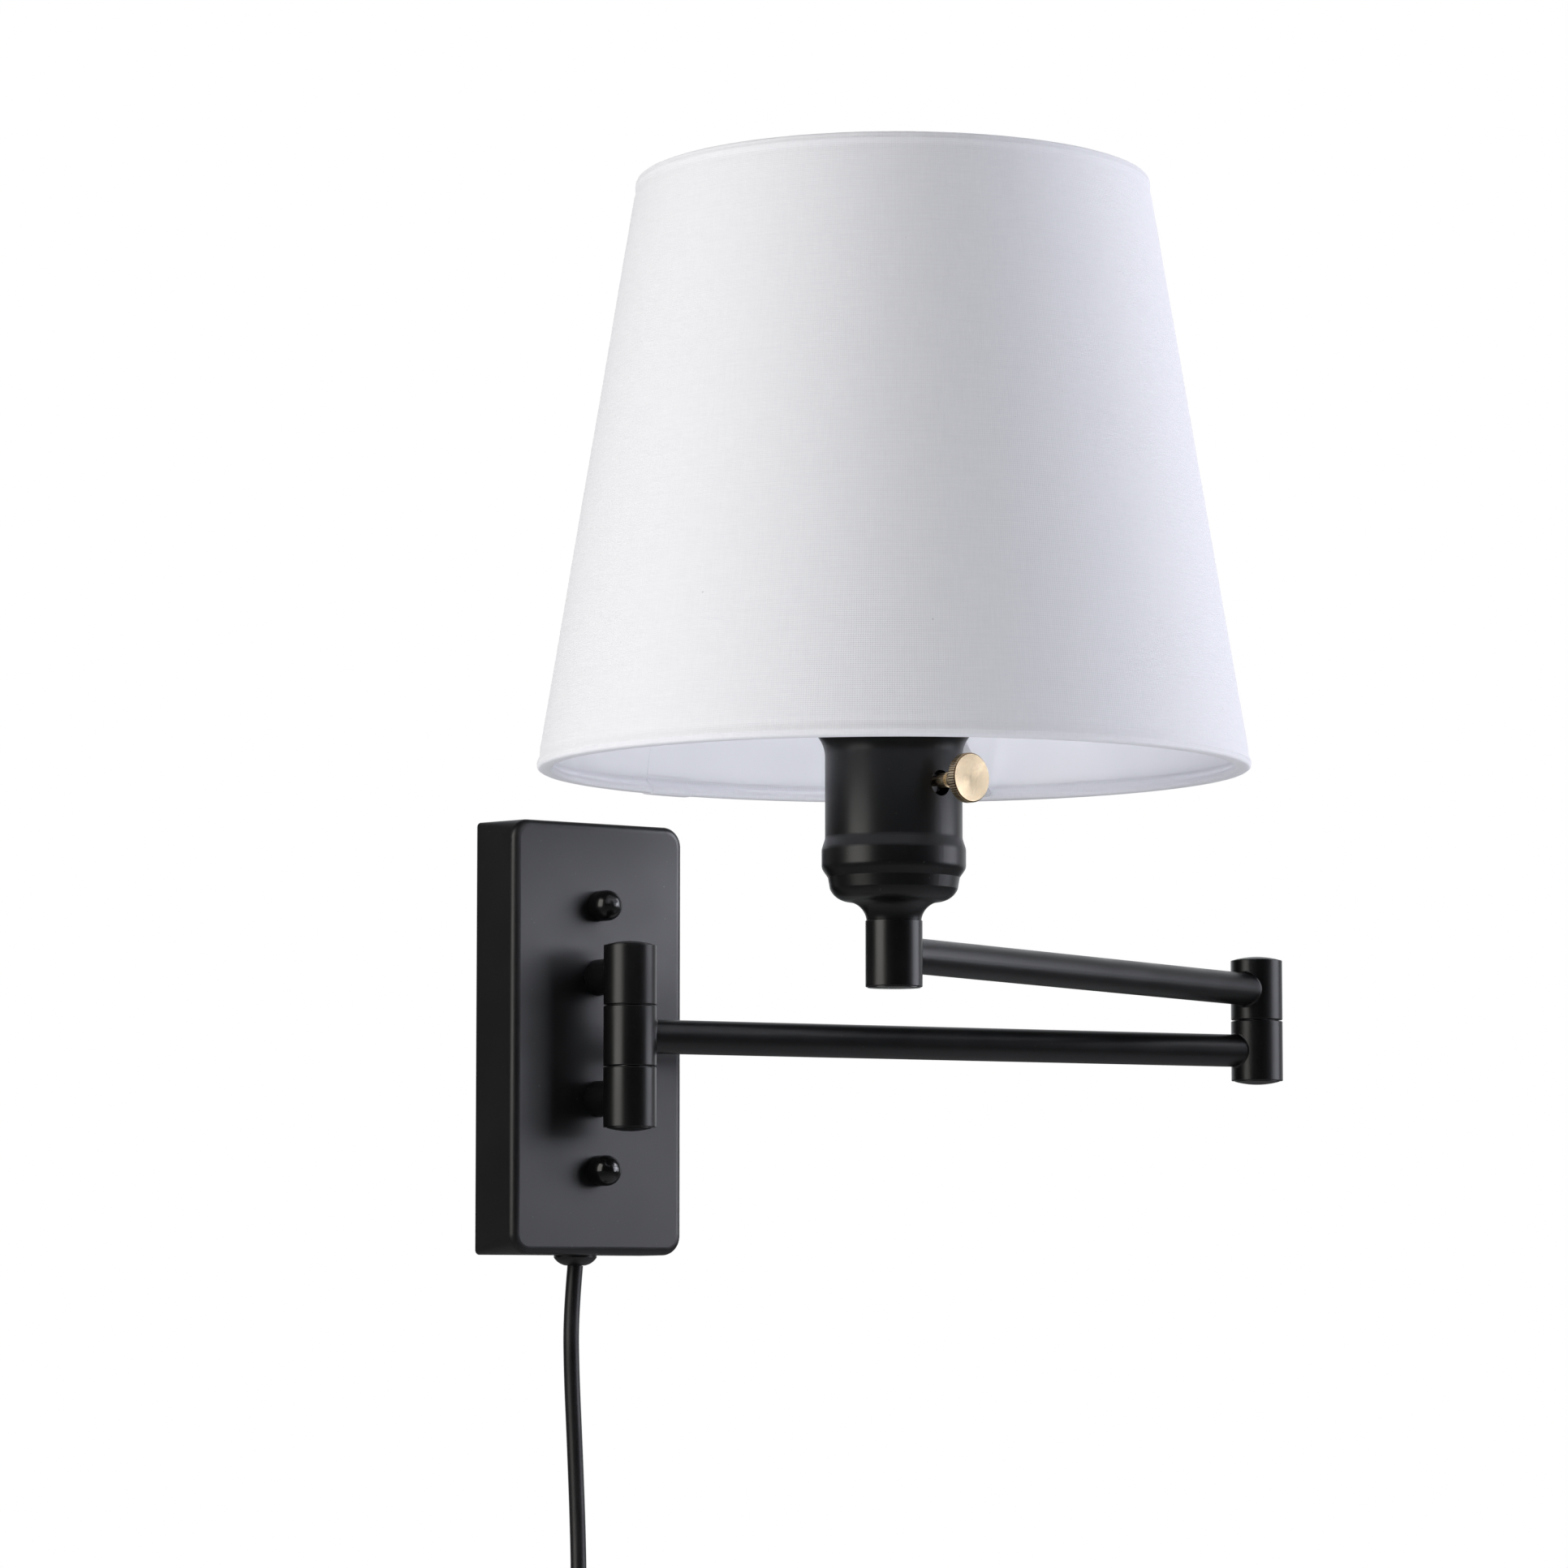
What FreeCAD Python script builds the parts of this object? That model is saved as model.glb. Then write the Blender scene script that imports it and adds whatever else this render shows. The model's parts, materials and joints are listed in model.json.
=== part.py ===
import FreeCAD, Part
# Swing arm wall sconce, one document object for each physical piece.
# Millimetres, +Z up. The wall is the plane Y = 0 and the room is on its -Y side.
# The origin is the middle of the wall plate's back. The arms stand half folded.
import math
import os
import Sketcher
from FreeCAD import Placement, Rotation, Vector

SIZES = {
    # wall plate: a pan pressed from sheet, open at the back
    "plate_width": 76.0, "plate_height": 160.0, "plate_depth": 25.0, "sheet_steel": 1.2,
    "plate_corner": 8.0, "plate_back_corner": 1.8, "plate_edge": 3.0,
    # strap behind the plate, its studs and the round cap nuts that hold the plate
    "strap_width": 20.0, "strap_height": 112.0, "strap_thick": 2.0,
    "slot_spacing": 70.0, "slot_length": 14.0, "slot_width": 5.0, "wire_hole": 12.0,
    "stud_spacing": 98.0, "stud_radius": 2.0, "stud_hole": 2.3, "stud_proud": 5.0,
    "cap_nut_radius": 5.7, "cap_nut_skirt": 4.8, "cap_nut_bore": 6.5,
    "screw_radius": 1.7, "screw_head_radius": 3.4, "screw_head": 2.2,
    "ground_height": 14.0,
    # the two swivel joints
    "knuckle_offset": 20.0, "wall_barrel_radius": 9.75, "wall_barrel_length": 22.0,
    "elbow_barrel_radius": 10.0, "elbow_barrel_length": 23.2, "joint_gap": 0.5,
    "washer_radius": 8.6, "washer_thick": 0.3, "barrel_edge": 0.35,
    "spindle_radius": 5.5, "spindle_bore": 3.6, "running_gap": 0.05, "spindle_inset": 3.2,
    "window_radius": 2.4, "cap_stub": 2.6, "cap_margin": 1.3, "cap_rim": 0.25,
    "cap_dome": 1.2, "post_cap_dome": 0.15,
    "standoff_radius": 6.7, "standoff_saddle": 1.2,
    "nipple_radius": 4.0, "nipple_bore": 2.6, "nipple_reach": 9.0,
    "nut_flats": 13.0, "nut_thick": 3.5,
    # arms
    "arm_length": 270.0, "lower_yaw": -9.3, "upper_yaw": -158.9,
    "tube_radius": 6.3, "tube_bore": 5.1, "boss_reach": 1.3, "boss_fillet": 0.9,
    # post at the arm's end, and the lamp holder's cup
    "post_radius": 10.0, "post_length": 23.3, "post_bore": 5.0, "post_cap_radius": 9.3,
    "cup_neck": 9.6, "cup_shoulder_radius": 16.6, "cup_shoulder_height": 6.7,
    "cup_belly_radius": 22.4, "cup_belly_height": 11.0, "cup_neck_curve": 7.4,
    "cup_belly_curve": 7.2, "cup_waist_radius": 23.1, "cup_waist_height": 15.0,
    "cup_bead_radius": 25.3, "cup_bead_low": 18.2, "cup_bead_high": 24.9,
    "cup_radius": 24.1, "cup_wall_low": 28.6, "cup_wall_high": 57.0,
    "cup_rim_radius": 29.0, "cup_height": 66.8, "cup_rim_curve": 11.5,
    "cup_sheet": 0.9, "cup_floor": 9.6, "cup_floor_radius": 13.5, "cup_round": 3.6,
    "knob_hole": 4.5, "knob_hole_drop": 0.8, "holder_nipple_radius": 5.0, "holder_nipple_bore": 3.2,
    "holder_nipple_length": 28.0, "holder_nipple_drop": 12.0,
    # lamp holder inside the cup, heights above the cup's foot
    "switch_low": 30.0, "switch_high": 57.0, "holder_radius": 19.5, "switch_flat": 18.0,
    "shelf_low": 86.5, "shelf_high": 89.5, "shelf_radius": 22.5,
    "holder_neck_radius": 19.4, "holder_high": 101.0, "thread_depth": 0.5, "thread_pitch": 2.5,
    "socket_floor": 61.0, "shell_radius": 13.9, "shell_bore": 13.3,
    "shell_low": 64.0, "shell_length": 24.0, "contact_radius": 4.0, "contact_height": 2.6,
    "ring_nut_radius": 24.2, "ring_nut_height": 7.5,
    # brass switch knob, distances out from the cup's axis
    "knob_height": 47.5, "knob_yaw": -84.0, "knob_radius": 8.65, "knob_back": 36.0,
    "knob_face": 39.4, "knob_dish": 0.35, "knob_edge": 0.45, "stem_start": 8.0, "stem_radius": 1.8,
    "collar_start": 24.3, "collar_end": 27.6, "collar_radius": 2.6, "groove_end": 29.4,
    "hub_radius": 2.9, "hub_flare": 4.2, "knurl_depth": 0.4, "knurl_half_width": 0.27,
    "bush_radius": 4.0, "bush_end": 20.6,
    # shade
    "shade_bottom": 88.1, "shade_height": 208.3, "shade_low_radius": 125.0,
    "shade_high_radius": 90.4, "cloth_thick": 0.6, "liner_thick": 0.8, "shade_wire": 1.5,
    "hoop_inset": 1.7, "hoop_gap": 0.25,
    "arm_wire": 1.7, "fitter_inner": 19.8, "fitter_outer": 24.6, "fitter_thick": 1.6,
    "spider_flat": 46.0, "spider_bend": 18.0, "spider_yaw": 36.0,
    # lead with its bushing, coil, tie and plug
    "cord_radius": 2.95, "bushing_inset": 9.7, "bushing_radius": 8.0, "bushing_drop": 3.8,
    "bushing_tip": 3.6, "bushing_curve": 6.4, "bushing_neck": 4.9, "bushing_hole": 5.0,
    "bushing_depth": 7.0, "bushing_nut_radius": 7.5, "bushing_nut_height": 3.0,
    "coil_low": 272.0, "coil_inner": 27.0, "coil_outer": 39.0, "coil_back": 2.0,
    "coil_width": 36.0, "coil_edge": 2.6, "tie_yaw": 75.0, "tie_width": 10.0, "tie_thick": 1.0,
    "plug_side": 30.0, "plug_front": 35.0, "relief_drop": 26.0, "relief_length": 26.0,
    "relief_low_radius": 5.2, "relief_high_radius": 3.7,
    "plug_width": 26.0, "plug_depth": 15.0, "plug_length": 30.0, "plug_round": 4.0,
    "plug_neck_width": 14.0,
    "blade_spacing": 12.7, "blade_width": 6.3, "blade_thick": 1.5, "blade_length": 16.5,
    # splices and insulated wires inside the plate
    "splice_radius": 3.2, "splice_length": 16.0, "splice_spacing": 22.0, "splice_inset": 12.5,
    "splice_drop": 52.0, "wire_radius": 1.1,
}

# The lead's route from the bushing to the coil. It hangs in a slack wave, then
# swings left and forward to meet the coil's outer turn along its tangent.
CORD_ROUTE = [
    (0.0, -9.7, -83.8), (-2.2, -10.2, -102.0), (-2.8, -11.6, -123.0), (-2.5, -13.4, -149.0),
    (-2.9, -16.2, -179.0), (-4.8, -20.0, -204.0), (-10.2, -24.6, -224.5), (-21.0, -28.6, -238.6),
]

KNURLS = 60
SPIDER_ARMS = 3
HOLDER_THREADS = 4

TO_ROOM = Rotation(Vector(1, 0, 0), 90)
DOWNWARD = Rotation(Vector(1, 0, 0), 180)
AXIS_ROLE = {"X": "X_Axis", "Y": "Y_Axis", "Z": "Z_Axis"}
ON_AXIS = "centre on the axis"


class Size:
    """A length that carries its number and the sheet expression that gives it."""

    def __init__(self, value, text):
        self.value = value
        self.text = text

    def __add__(self, other):
        other = as_size(other)
        return Size(self.value + other.value, f"({self.text} + {other.text})")

    def __sub__(self, other):
        other = as_size(other)
        return Size(self.value - other.value, f"({self.text} - {other.text})")

    def __mul__(self, other):
        other = as_size(other)
        return Size(self.value * other.value, f"({self.text} * {other.text})")

    def __truediv__(self, other):
        other = as_size(other)
        return Size(self.value / other.value, f"({self.text} / {other.text})")

    def __neg__(self):
        return Size(-self.value, f"(0 - {self.text})")


def as_size(thing):
    return thing if isinstance(thing, Size) else Size(float(thing), str(float(thing)))


def cosine(angle):
    return Size(math.cos(math.radians(angle.value)), f"cos({angle.text})")


def sine(angle):
    return Size(math.sin(math.radians(angle.value)), f"sin({angle.text})")


class Sizes:
    """The sheet's cells as attributes."""

    def __init__(self, sheet):
        for name in SIZES:
            setattr(self, name, Size(float(sheet.get(name)), f"{sheet.Name}.{name}"))


def make_sheet():
    sheet = doc.addObject("Spreadsheet::Sheet", "Dimensions")
    for row, (name, value) in enumerate(SIZES.items(), 1):
        sheet.set(f"A{row}", name)
        sheet.set(f"B{row}", str(value))
        sheet.setAlias(f"B{row}", name)
    doc.recompute()
    return sheet


# ---- helpers: sketches ------------------------------------------------------

def bind(thing, property_name, size):
    thing.setExpression(property_name, as_size(size).text)


def new_body(name):
    body = doc.addObject("PartDesign::Body", name)
    body.Label = name
    return body


def origin_feature(body, role):
    return next(item for item in body.Origin.OriginFeatures if item.Role == role)


def sketch_on(body, plane, name):
    sketch = body.newObject("Sketcher::SketchObject", name)
    sketch.AttachmentSupport = (origin_feature(body, plane), [""])
    sketch.MapMode = "FlatFace"
    return sketch


def hold_point(sketch, geometry, vertex, x, y):
    """Fix one vertex by its two distances from the sketch's origin."""
    for kind, axis, size in (("DistanceX", -2, as_size(x)), ("DistanceY", -1, as_size(y))):
        if size.value == 0:
            sketch.addConstraint(Sketcher.Constraint("PointOnObject", geometry, vertex, axis))
            continue
        rule = Sketcher.Constraint(kind, -1, 1, geometry, vertex, size.value)
        bind(sketch, f"Constraints[{sketch.addConstraint(rule)}]", size)


def arc_centre(start, end, radius):
    """Centre of the short arc from start to end. A positive radius bulges to the right
    of the way and a negative one to the left; no radius puts the centre on the V axis."""
    if radius is None:
        rise = end.y - start.y
        return Vector(0, (end.y ** 2 - start.y ** 2 + end.x ** 2 - start.x ** 2) / (2 * rise), 0)
    chord = end - start
    left = Vector(-chord.y, chord.x, 0).normalize()
    rise = math.sqrt(radius * radius - chord.Length ** 2 / 4)
    return (start + end) / 2 + left * math.copysign(rise, radius)


def add_arc(sketch, start, end, size):
    """Add the arc, and return it with the vertex numbers of its start and its end."""
    on_axis = size == ON_AXIS
    radius = None if on_axis else as_size(size).value
    centre = arc_centre(start, end, radius)
    circle = Part.Circle(centre, Vector(0, 0, 1), (start - centre).Length)
    leftward = on_axis or radius > 0
    low, high = (start, end) if leftward else (end, start)
    angles = [math.atan2(p.y - centre.y, p.x - centre.x) for p in (low, high)]
    geometry = sketch.addGeometry(Part.ArcOfCircle(circle, *angles))
    if on_axis:
        sketch.addConstraint(Sketcher.Constraint("PointOnObject", geometry, 3, -2))
    else:
        size = as_size(size) if radius > 0 else -as_size(size)
        rule = Sketcher.Constraint("Radius", geometry, abs(radius))
        bind(sketch, f"Constraints[{sketch.addConstraint(rule)}]", size)
    return (geometry, 1, 2) if leftward else (geometry, 2, 1)


def add_outline(sketch, corners):
    """Closed outline. A corner is (x, y), or (x, y, radius) when an arc leaves it."""
    points = [Vector(as_size(c[0]).value, as_size(c[1]).value, 0) for c in corners]
    following = points[1:] + points[:1]
    ends = []
    for corner, start, end in zip(corners, points, following):
        if len(corner) == 3:
            ends.append(add_arc(sketch, start, end, corner[2]))
        else:
            ends.append((sketch.addGeometry(Part.LineSegment(start, end)), 1, 2))
    for corner, here, after in zip(corners, ends, ends[1:] + ends[:1]):
        sketch.addConstraint(Sketcher.Constraint("Coincident", here[0], here[2], after[0], after[1]))
        hold_point(sketch, here[0], here[1], corner[0], corner[1])


def add_circle(sketch, x, y, radius):
    centre = Vector(as_size(x).value, as_size(y).value, 0)
    circle = Part.Circle(centre, Vector(0, 0, 1), as_size(radius).value)
    geometry = sketch.addGeometry(circle)
    rule = Sketcher.Constraint("Radius", geometry, as_size(radius).value)
    bind(sketch, f"Constraints[{sketch.addConstraint(rule)}]", radius)
    hold_point(sketch, geometry, 3, x, y)


def block(width, height, x=0.0, y=0.0):
    """Corners of a rectangle about (x, y)."""
    x, y = as_size(x), as_size(y)
    left, right = x - width / 2, x + width / 2
    low, high = y - height / 2, y + height / 2
    return [(left, low), (right, low), (right, high), (left, high)]


def round_block(width, height, radius):
    """Corners of a rectangle about the origin, with round corners."""
    side, top = width / 2, height / 2
    near, low = side - radius, top - radius
    return [
        (-near, -top), (near, -top, radius), (side, -low), (side, low, radius),
        (near, top), (-near, top, radius), (-side, low), (-side, -low, radius),
    ]


# ---- helpers: features ------------------------------------------------------

def revolve(body, corners, name, plane="XZ_Plane", axis="V_Axis", kind="Revolution"):
    sketch = sketch_on(body, plane, f"{name}_profile")
    add_outline(sketch, corners)
    feature = body.newObject(f"PartDesign::{kind}", name)
    feature.Profile = sketch
    feature.ReferenceAxis = (sketch, [axis])
    feature.Angle = 360
    body.Tip = feature
    return feature


def turned(name, corners):
    """A body turned about its own Z axis from (radius, height) corners."""
    body = new_body(name)
    revolve(body, corners, f"{name}_turn")
    return body


def tube_corners(inner, outer, low, high):
    return [(inner, low), (outer, low), (outer, high), (inner, high)]


def pad(body, sketch, length, name, reverse=False, middle=False):
    feature = body.newObject("PartDesign::Pad", name)
    feature.Profile = sketch
    feature.Length = as_size(length).value
    bind(feature, "Length", length)
    feature.Reversed = reverse
    feature.Midplane = middle
    body.Tip = feature
    return feature


def pocket_through(body, sketch, name, reverse=False, both_ways=False):
    """Cut the sketch right through, and make sure that it removes something."""
    doc.recompute()
    before = body.Shape.Volume
    feature = body.newObject("PartDesign::Pocket", name)
    feature.Profile = sketch
    feature.Type = "ThroughAll"
    feature.Reversed = reverse
    feature.Midplane = both_ways
    body.Tip = feature
    doc.recompute()
    if not body.Shape.Volume < before - 0.05:
        raise RuntimeError(f"{name} cuts nothing")
    return feature


def round_edges(body, feature, chosen, radius, name):
    """Fillet the feature's edges that the test chosen(edge) picks."""
    doc.recompute()
    names = [f"Edge{n}" for n, edge in enumerate(feature.Shape.Edges, 1) if chosen(edge)]
    if not names:
        raise RuntimeError(f"{name} finds no edge")
    fillet = body.newObject("PartDesign::Fillet", name)
    fillet.Base = (feature, names)
    fillet.Radius = as_size(radius).value
    bind(fillet, "Radius", radius)
    body.Tip = fillet
    return fillet


def repeat_along(body, feature, axis, spacing, name):
    """Two of the feature, a spacing apart along one of the body's axes."""
    body.AllowCompound = True
    pattern = body.newObject("PartDesign::LinearPattern", name)
    pattern.Originals = [feature]
    pattern.Direction = (origin_feature(body, AXIS_ROLE[axis]), [""])
    pattern.Length = as_size(spacing).value
    bind(pattern, "Length", spacing)
    pattern.Occurrences = 2
    body.Tip = pattern
    return pattern


def place(thing, x=0.0, y=0.0, z=0.0, turn=Rotation()):
    thing.Placement = Placement(Vector(), turn)
    for axis, size in (("x", x), ("y", y), ("z", z)):
        bind(thing, f"Placement.Base.{axis}", size)
    pieces.append(thing)
    return thing


def yaw(angle):
    return Rotation(Vector(0, 0, 1), as_size(angle).value)


def ring_edge(height, least_radius):
    """Test for a round edge at a height whose radius is at least this big."""
    def chosen(edge):
        curve = edge.Curve
        if not hasattr(curve, "Radius") or curve.Radius < least_radius - 1e-6:
            return False
        return abs(edge.BoundBox.ZMin - height) < 1e-4 and abs(edge.BoundBox.ZMax - height) < 1e-4
    return chosen


# ---- wall plate and its hardware --------------------------------------------

def pan_form(body, kind, depth, inset, name):
    """The pan's outside or its hollow: corners that are nearly square at the wall and
    round at the front. The front edge is rounded too."""
    width, height = D.plate_width - inset * 2, D.plate_height - inset * 2
    back = sketch_on(body, "XZ_Plane", f"{name}_back")
    add_outline(back, round_block(width, height, D.plate_back_corner - inset))
    front = sketch_on(body, "XZ_Plane", f"{name}_front")
    front.AttachmentOffset = Placement(Vector(0, 0, depth.value), Rotation())
    bind(front, "AttachmentOffset.Base.z", depth)
    add_outline(front, round_block(width, height, D.plate_corner - inset))
    loft = body.newObject(f"PartDesign::{kind}Loft", name)
    loft.Profile = back
    loft.Sections = [front]
    loft.Ruled = True
    body.Tip = loft

    def at_front(edge):
        return max(abs(edge.BoundBox.YMin + depth.value), abs(edge.BoundBox.YMax + depth.value)) < 1e-3

    return round_edges(body, loft, at_front, D.plate_edge - inset, f"{name}_edge")


def make_backplate():
    body = new_body("backplate")
    pan_form(body, "Additive", D.plate_depth, as_size(0), "plate_pan")
    pan_form(body, "Subtractive", D.plate_depth - D.sheet_steel, D.sheet_steel, "plate_hollow")
    holes = sketch_on(body, "XZ_Plane", "plate_holes")
    for side in (-0.5, 0.5):
        add_circle(holes, 0.0, D.stud_spacing * side, D.stud_hole)
        add_circle(holes, 0.0, WALL_PITCH * side * 2, D.nipple_radius)
    pocket_through(body, holes, "plate_hole_cut", both_ways=True)
    outlet = sketch_on(body, "XY_Plane", "cord_outlet")
    add_circle(outlet, 0.0, -D.bushing_inset, D.bushing_hole)
    pocket_through(body, outlet, "cord_outlet_cut")
    return place(body)


def make_bracket():
    """Steel strap with two wall screw slots, two stud holes, a wire hole and a ground hole."""
    body = new_body("wall_bracket")
    outline = sketch_on(body, "XZ_Plane", "strap_outline")
    add_outline(outline, block(D.strap_width, D.strap_height))
    strap = pad(body, outline, D.strap_thick, "strap")

    def is_corner(edge):
        return edge.BoundBox.YLength > D.strap_thick.value - 1e-3

    round_edges(body, strap, is_corner, 3.0, "strap_corners")
    holes = sketch_on(body, "XZ_Plane", "strap_holes")
    add_circle(holes, 0.0, 0.0, D.wire_hole / 2)
    add_circle(holes, 0.0, D.ground_height, D.screw_radius)
    for side in (-0.5, 0.5):
        add_circle(holes, 0.0, D.stud_spacing * side, D.stud_radius)
    pocket_through(body, holes, "strap_hole_cut", both_ways=True)
    middles = sketch_on(body, "XZ_Plane", "slot_middles")
    straight = D.slot_length - D.slot_width
    for side in (-0.5, 0.5):
        add_outline(middles, block(D.slot_width, straight, 0.0, D.slot_spacing * side))
    pocket_through(body, middles, "slot_middle_cut", both_ways=True)
    ends = sketch_on(body, "XZ_Plane", "slot_ends")
    for side in (-0.5, 0.5):
        for end in (-0.5, 0.5):
            add_circle(ends, 0.0, D.slot_spacing * side + straight * end, D.slot_width / 2)
    pocket_through(body, ends, "slot_end_cut", both_ways=True)
    return place(body)


def make_studs():
    body = turned("bracket_studs", tube_corners(0.0, D.stud_radius, 0.0, D.plate_depth + D.stud_proud))
    repeat_along(body, body.Tip, "Y", D.stud_spacing, "stud_pair")
    return place(body, z=-D.stud_spacing / 2, turn=TO_ROOM)


def make_cap_nuts():
    tip = D.cap_nut_skirt + D.cap_nut_radius
    body = turned("cap_nuts", [
        (D.stud_radius, 0.0), (D.cap_nut_radius - 0.4, 0.0), (D.cap_nut_radius, 0.4),
        (D.cap_nut_radius, D.cap_nut_skirt, ON_AXIS), (0.0, tip),
        (0.0, D.cap_nut_bore), (D.stud_radius, D.cap_nut_bore),
    ])
    repeat_along(body, body.Tip, "Y", D.stud_spacing, "cap_nut_pair")
    return place(body, y=-D.plate_depth, z=-D.stud_spacing / 2, turn=TO_ROOM)


def make_ground_screw():
    top = D.strap_thick + D.screw_head
    body = turned("ground_screw", [
        (0.0, 0.2), (D.screw_radius, 0.2), (D.screw_radius, D.strap_thick),
        (D.screw_head_radius, D.strap_thick), (D.screw_head_radius, top - 0.8),
        (D.screw_head_radius - 0.8, top), (0.0, top),
    ])
    return place(body, z=D.ground_height, turn=TO_ROOM)


def make_splices():
    """Two crimped splices side by side inside the plate, joining lead to arm wires."""
    neck = D.splice_radius - 0.7
    body = turned("wire_splices", [
        (0.0, 0.0), (neck, 0.0), (D.splice_radius, 1.5), (D.splice_radius, D.splice_length - 1.5),
        (neck, D.splice_length), (0.0, D.splice_length),
    ])
    repeat_along(body, body.Tip, "X", D.splice_spacing, "splice_pair")
    return place(body, -D.splice_spacing / 2, -D.splice_inset, -D.splice_drop)


def make_wires(name, route):
    """A pair of mirrored insulated wires along the route of the right hand one."""
    rods = []
    for side in (1, -1):
        points = [Vector(x * side, y, z) for x, y, z in route]
        path = rounded_path(points, route_radii(points))
        rods.append(swept_rod(path, points[0], points[1] - points[0], D.wire_radius.value))
    pair = doc.addObject("Part::Feature", name)
    pair.Label = name
    pair.Shape = Part.makeCompound(rods)
    return place(pair)


def make_inner_wires():
    side, depth = D.splice_spacing.value / 2, -D.splice_inset.value
    low, high = -D.splice_drop.value, D.splice_length.value - D.splice_drop.value
    bushing = D.bushing_depth.value - D.plate_height.value / 2
    make_wires("supply_wires", [
        (2.0, -D.bushing_inset.value, bushing), (3.2, -D.bushing_inset.value, bushing + 7),
        (side - 0.8, depth + 0.4, low - 7), (side, depth, low),
    ])
    mouth = -D.plate_depth.value + D.sheet_steel.value + D.nut_thick.value + 1.5
    level = -WALL_PITCH.value
    make_wires("arm_wires", [
        (side, depth, high), (side - 0.6, depth + 0.5, level - 5), (5.0, depth + 2.6, level - 0.6),
        (1.3, depth, level), (1.3, mouth - 1.0, level),
    ])


# ---- swivel joints ----------------------------------------------------------

def barrel(name, radius, length, bore):
    """A barrel about the origin, its ends slightly rounded."""
    body = new_body(name)
    half = length / 2
    turn = revolve(body, tube_corners(bore, radius, -half, half), f"{name}_turn")
    for end, side in (("low", -1), ("high", 1)):
        edge = ring_edge(half.value * side, radius.value)
        turn = round_edges(body, turn, edge, D.barrel_edge, f"{name}_{end}_edge")
    return body


def arm_barrel(name, radius, length, bore, side):
    """A barrel with a filleted boss for an arm's end and the wire hole through it, on
    the side +1 or -1 of X."""
    body = barrel(name, radius, length, bore)
    round_bar = sketch_on(body, "YZ_Plane", f"{name}_boss")
    add_circle(round_bar, 0.0, 0.0, D.tube_radius)
    boss = pad(body, round_bar, radius + D.boss_reach, f"{name}_boss_pad", reverse=side < 0)

    def is_saddle(edge):
        near, far = sorted(abs(x) for x in (edge.BoundBox.XMin, edge.BoundBox.XMax))
        return far - near > 0.5 and near > bore.value and far < radius.value + 0.5

    round_edges(body, boss, is_saddle, D.boss_fillet, f"{name}_saddle")
    clear = sketch_on(body, "XY_Plane", f"{name}_bore")
    add_circle(clear, 0.0, 0.0, bore)
    pocket_through(body, clear, f"{name}_bore_cut", both_ways=True)
    hole = sketch_on(body, "YZ_Plane", f"{name}_window")
    add_circle(hole, 0.0, 0.0, D.window_radius)
    pocket_through(body, hole, f"{name}_window_cut", reverse=side > 0)
    return body


def make_wall_barrel(name, height):
    """An outer barrel of the wall joint, with the round standoff that carries it."""
    body = barrel(name, D.wall_barrel_radius, D.wall_barrel_length, D.spindle_radius)
    foot = sketch_on(body, "XZ_Plane", f"{name}_standoff")
    add_circle(foot, 0.0, 0.0, D.standoff_radius)
    stem = pad(body, foot, D.knuckle_offset, f"{name}_stem", reverse=True)

    def is_saddle(edge):
        box = edge.BoundBox
        return box.YLength > 0.5 and box.YMin > 4 and box.YMax < D.knuckle_offset.value - 1

    round_edges(body, stem, is_saddle, D.standoff_saddle, f"{name}_saddle")
    clear = sketch_on(body, "XY_Plane", f"{name}_bore")
    add_circle(clear, 0.0, 0.0, D.spindle_radius)
    pocket_through(body, clear, f"{name}_bore_cut", both_ways=True)
    thread = sketch_on(body, "XZ_Plane", f"{name}_nipple_hole")
    add_circle(thread, 0.0, 0.0, D.nipple_radius)
    pocket_through(body, thread, f"{name}_nipple_cut")
    return place(body, y=JOINT_Y, z=height)


def make_end_cap(name, stub_radius, cap_radius, dome, x, y, z, turn=Rotation()):
    """Domed cap; its stub plugs the barrel's bore. The origin is on the barrel's end."""
    top = D.cap_rim + dome
    body = turned(name, [
        (0.0, -D.cap_stub), (stub_radius, -D.cap_stub), (stub_radius, 0.0), (cap_radius, 0.0),
        (cap_radius, D.cap_rim, ON_AXIS), (0.0, top),
    ])
    return place(body, x, y, z, turn)


def make_spindle(name, length, x, y, z):
    """Hollow spindle standing on the origin, with a wire window across its middle."""
    body = turned(name, tube_corners(D.spindle_bore, D.spindle_radius, 0.0, length))
    hole = sketch_on(body, "YZ_Plane", f"{name}_window")
    add_circle(hole, 0.0, length / 2, D.window_radius)
    pocket_through(body, hole, f"{name}_window_cut", both_ways=True)
    return place(body, x, y, z)


def make_washers(name, heights, x, y):
    """Flat nylon washers. Each lies on the barrel below it or under the one above."""
    bore = D.spindle_radius + D.running_gap
    body = turned(name, tube_corners(bore, D.washer_radius, 0.0, D.washer_thick))
    if len(heights) == 2:
        repeat_along(body, body.Tip, "Z", heights[1] - heights[0], f"{name}_pair")
    return place(body, x, y, heights[0])


def make_wall_joint():
    end = WALL_PITCH + D.wall_barrel_length / 2
    make_wall_barrel("wall_barrel_upper", WALL_PITCH)
    make_wall_barrel("wall_barrel_lower", -WALL_PITCH)
    make_spindle("wall_spindle", (end - D.spindle_inset) * 2, 0.0, JOINT_Y, D.spindle_inset - end)
    seam = D.wall_barrel_length / 2 + D.joint_gap
    make_washers("wall_washers", [-seam, seam - D.washer_thick], 0.0, JOINT_Y)
    cap_radius = D.wall_barrel_radius - D.cap_margin
    make_end_cap("wall_cap_top", D.spindle_radius, cap_radius, D.cap_dome, 0.0, JOINT_Y, end)
    make_end_cap("wall_cap_bottom", D.spindle_radius, cap_radius, D.cap_dome,
                 0.0, JOINT_Y, -end, DOWNWARD)


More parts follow.
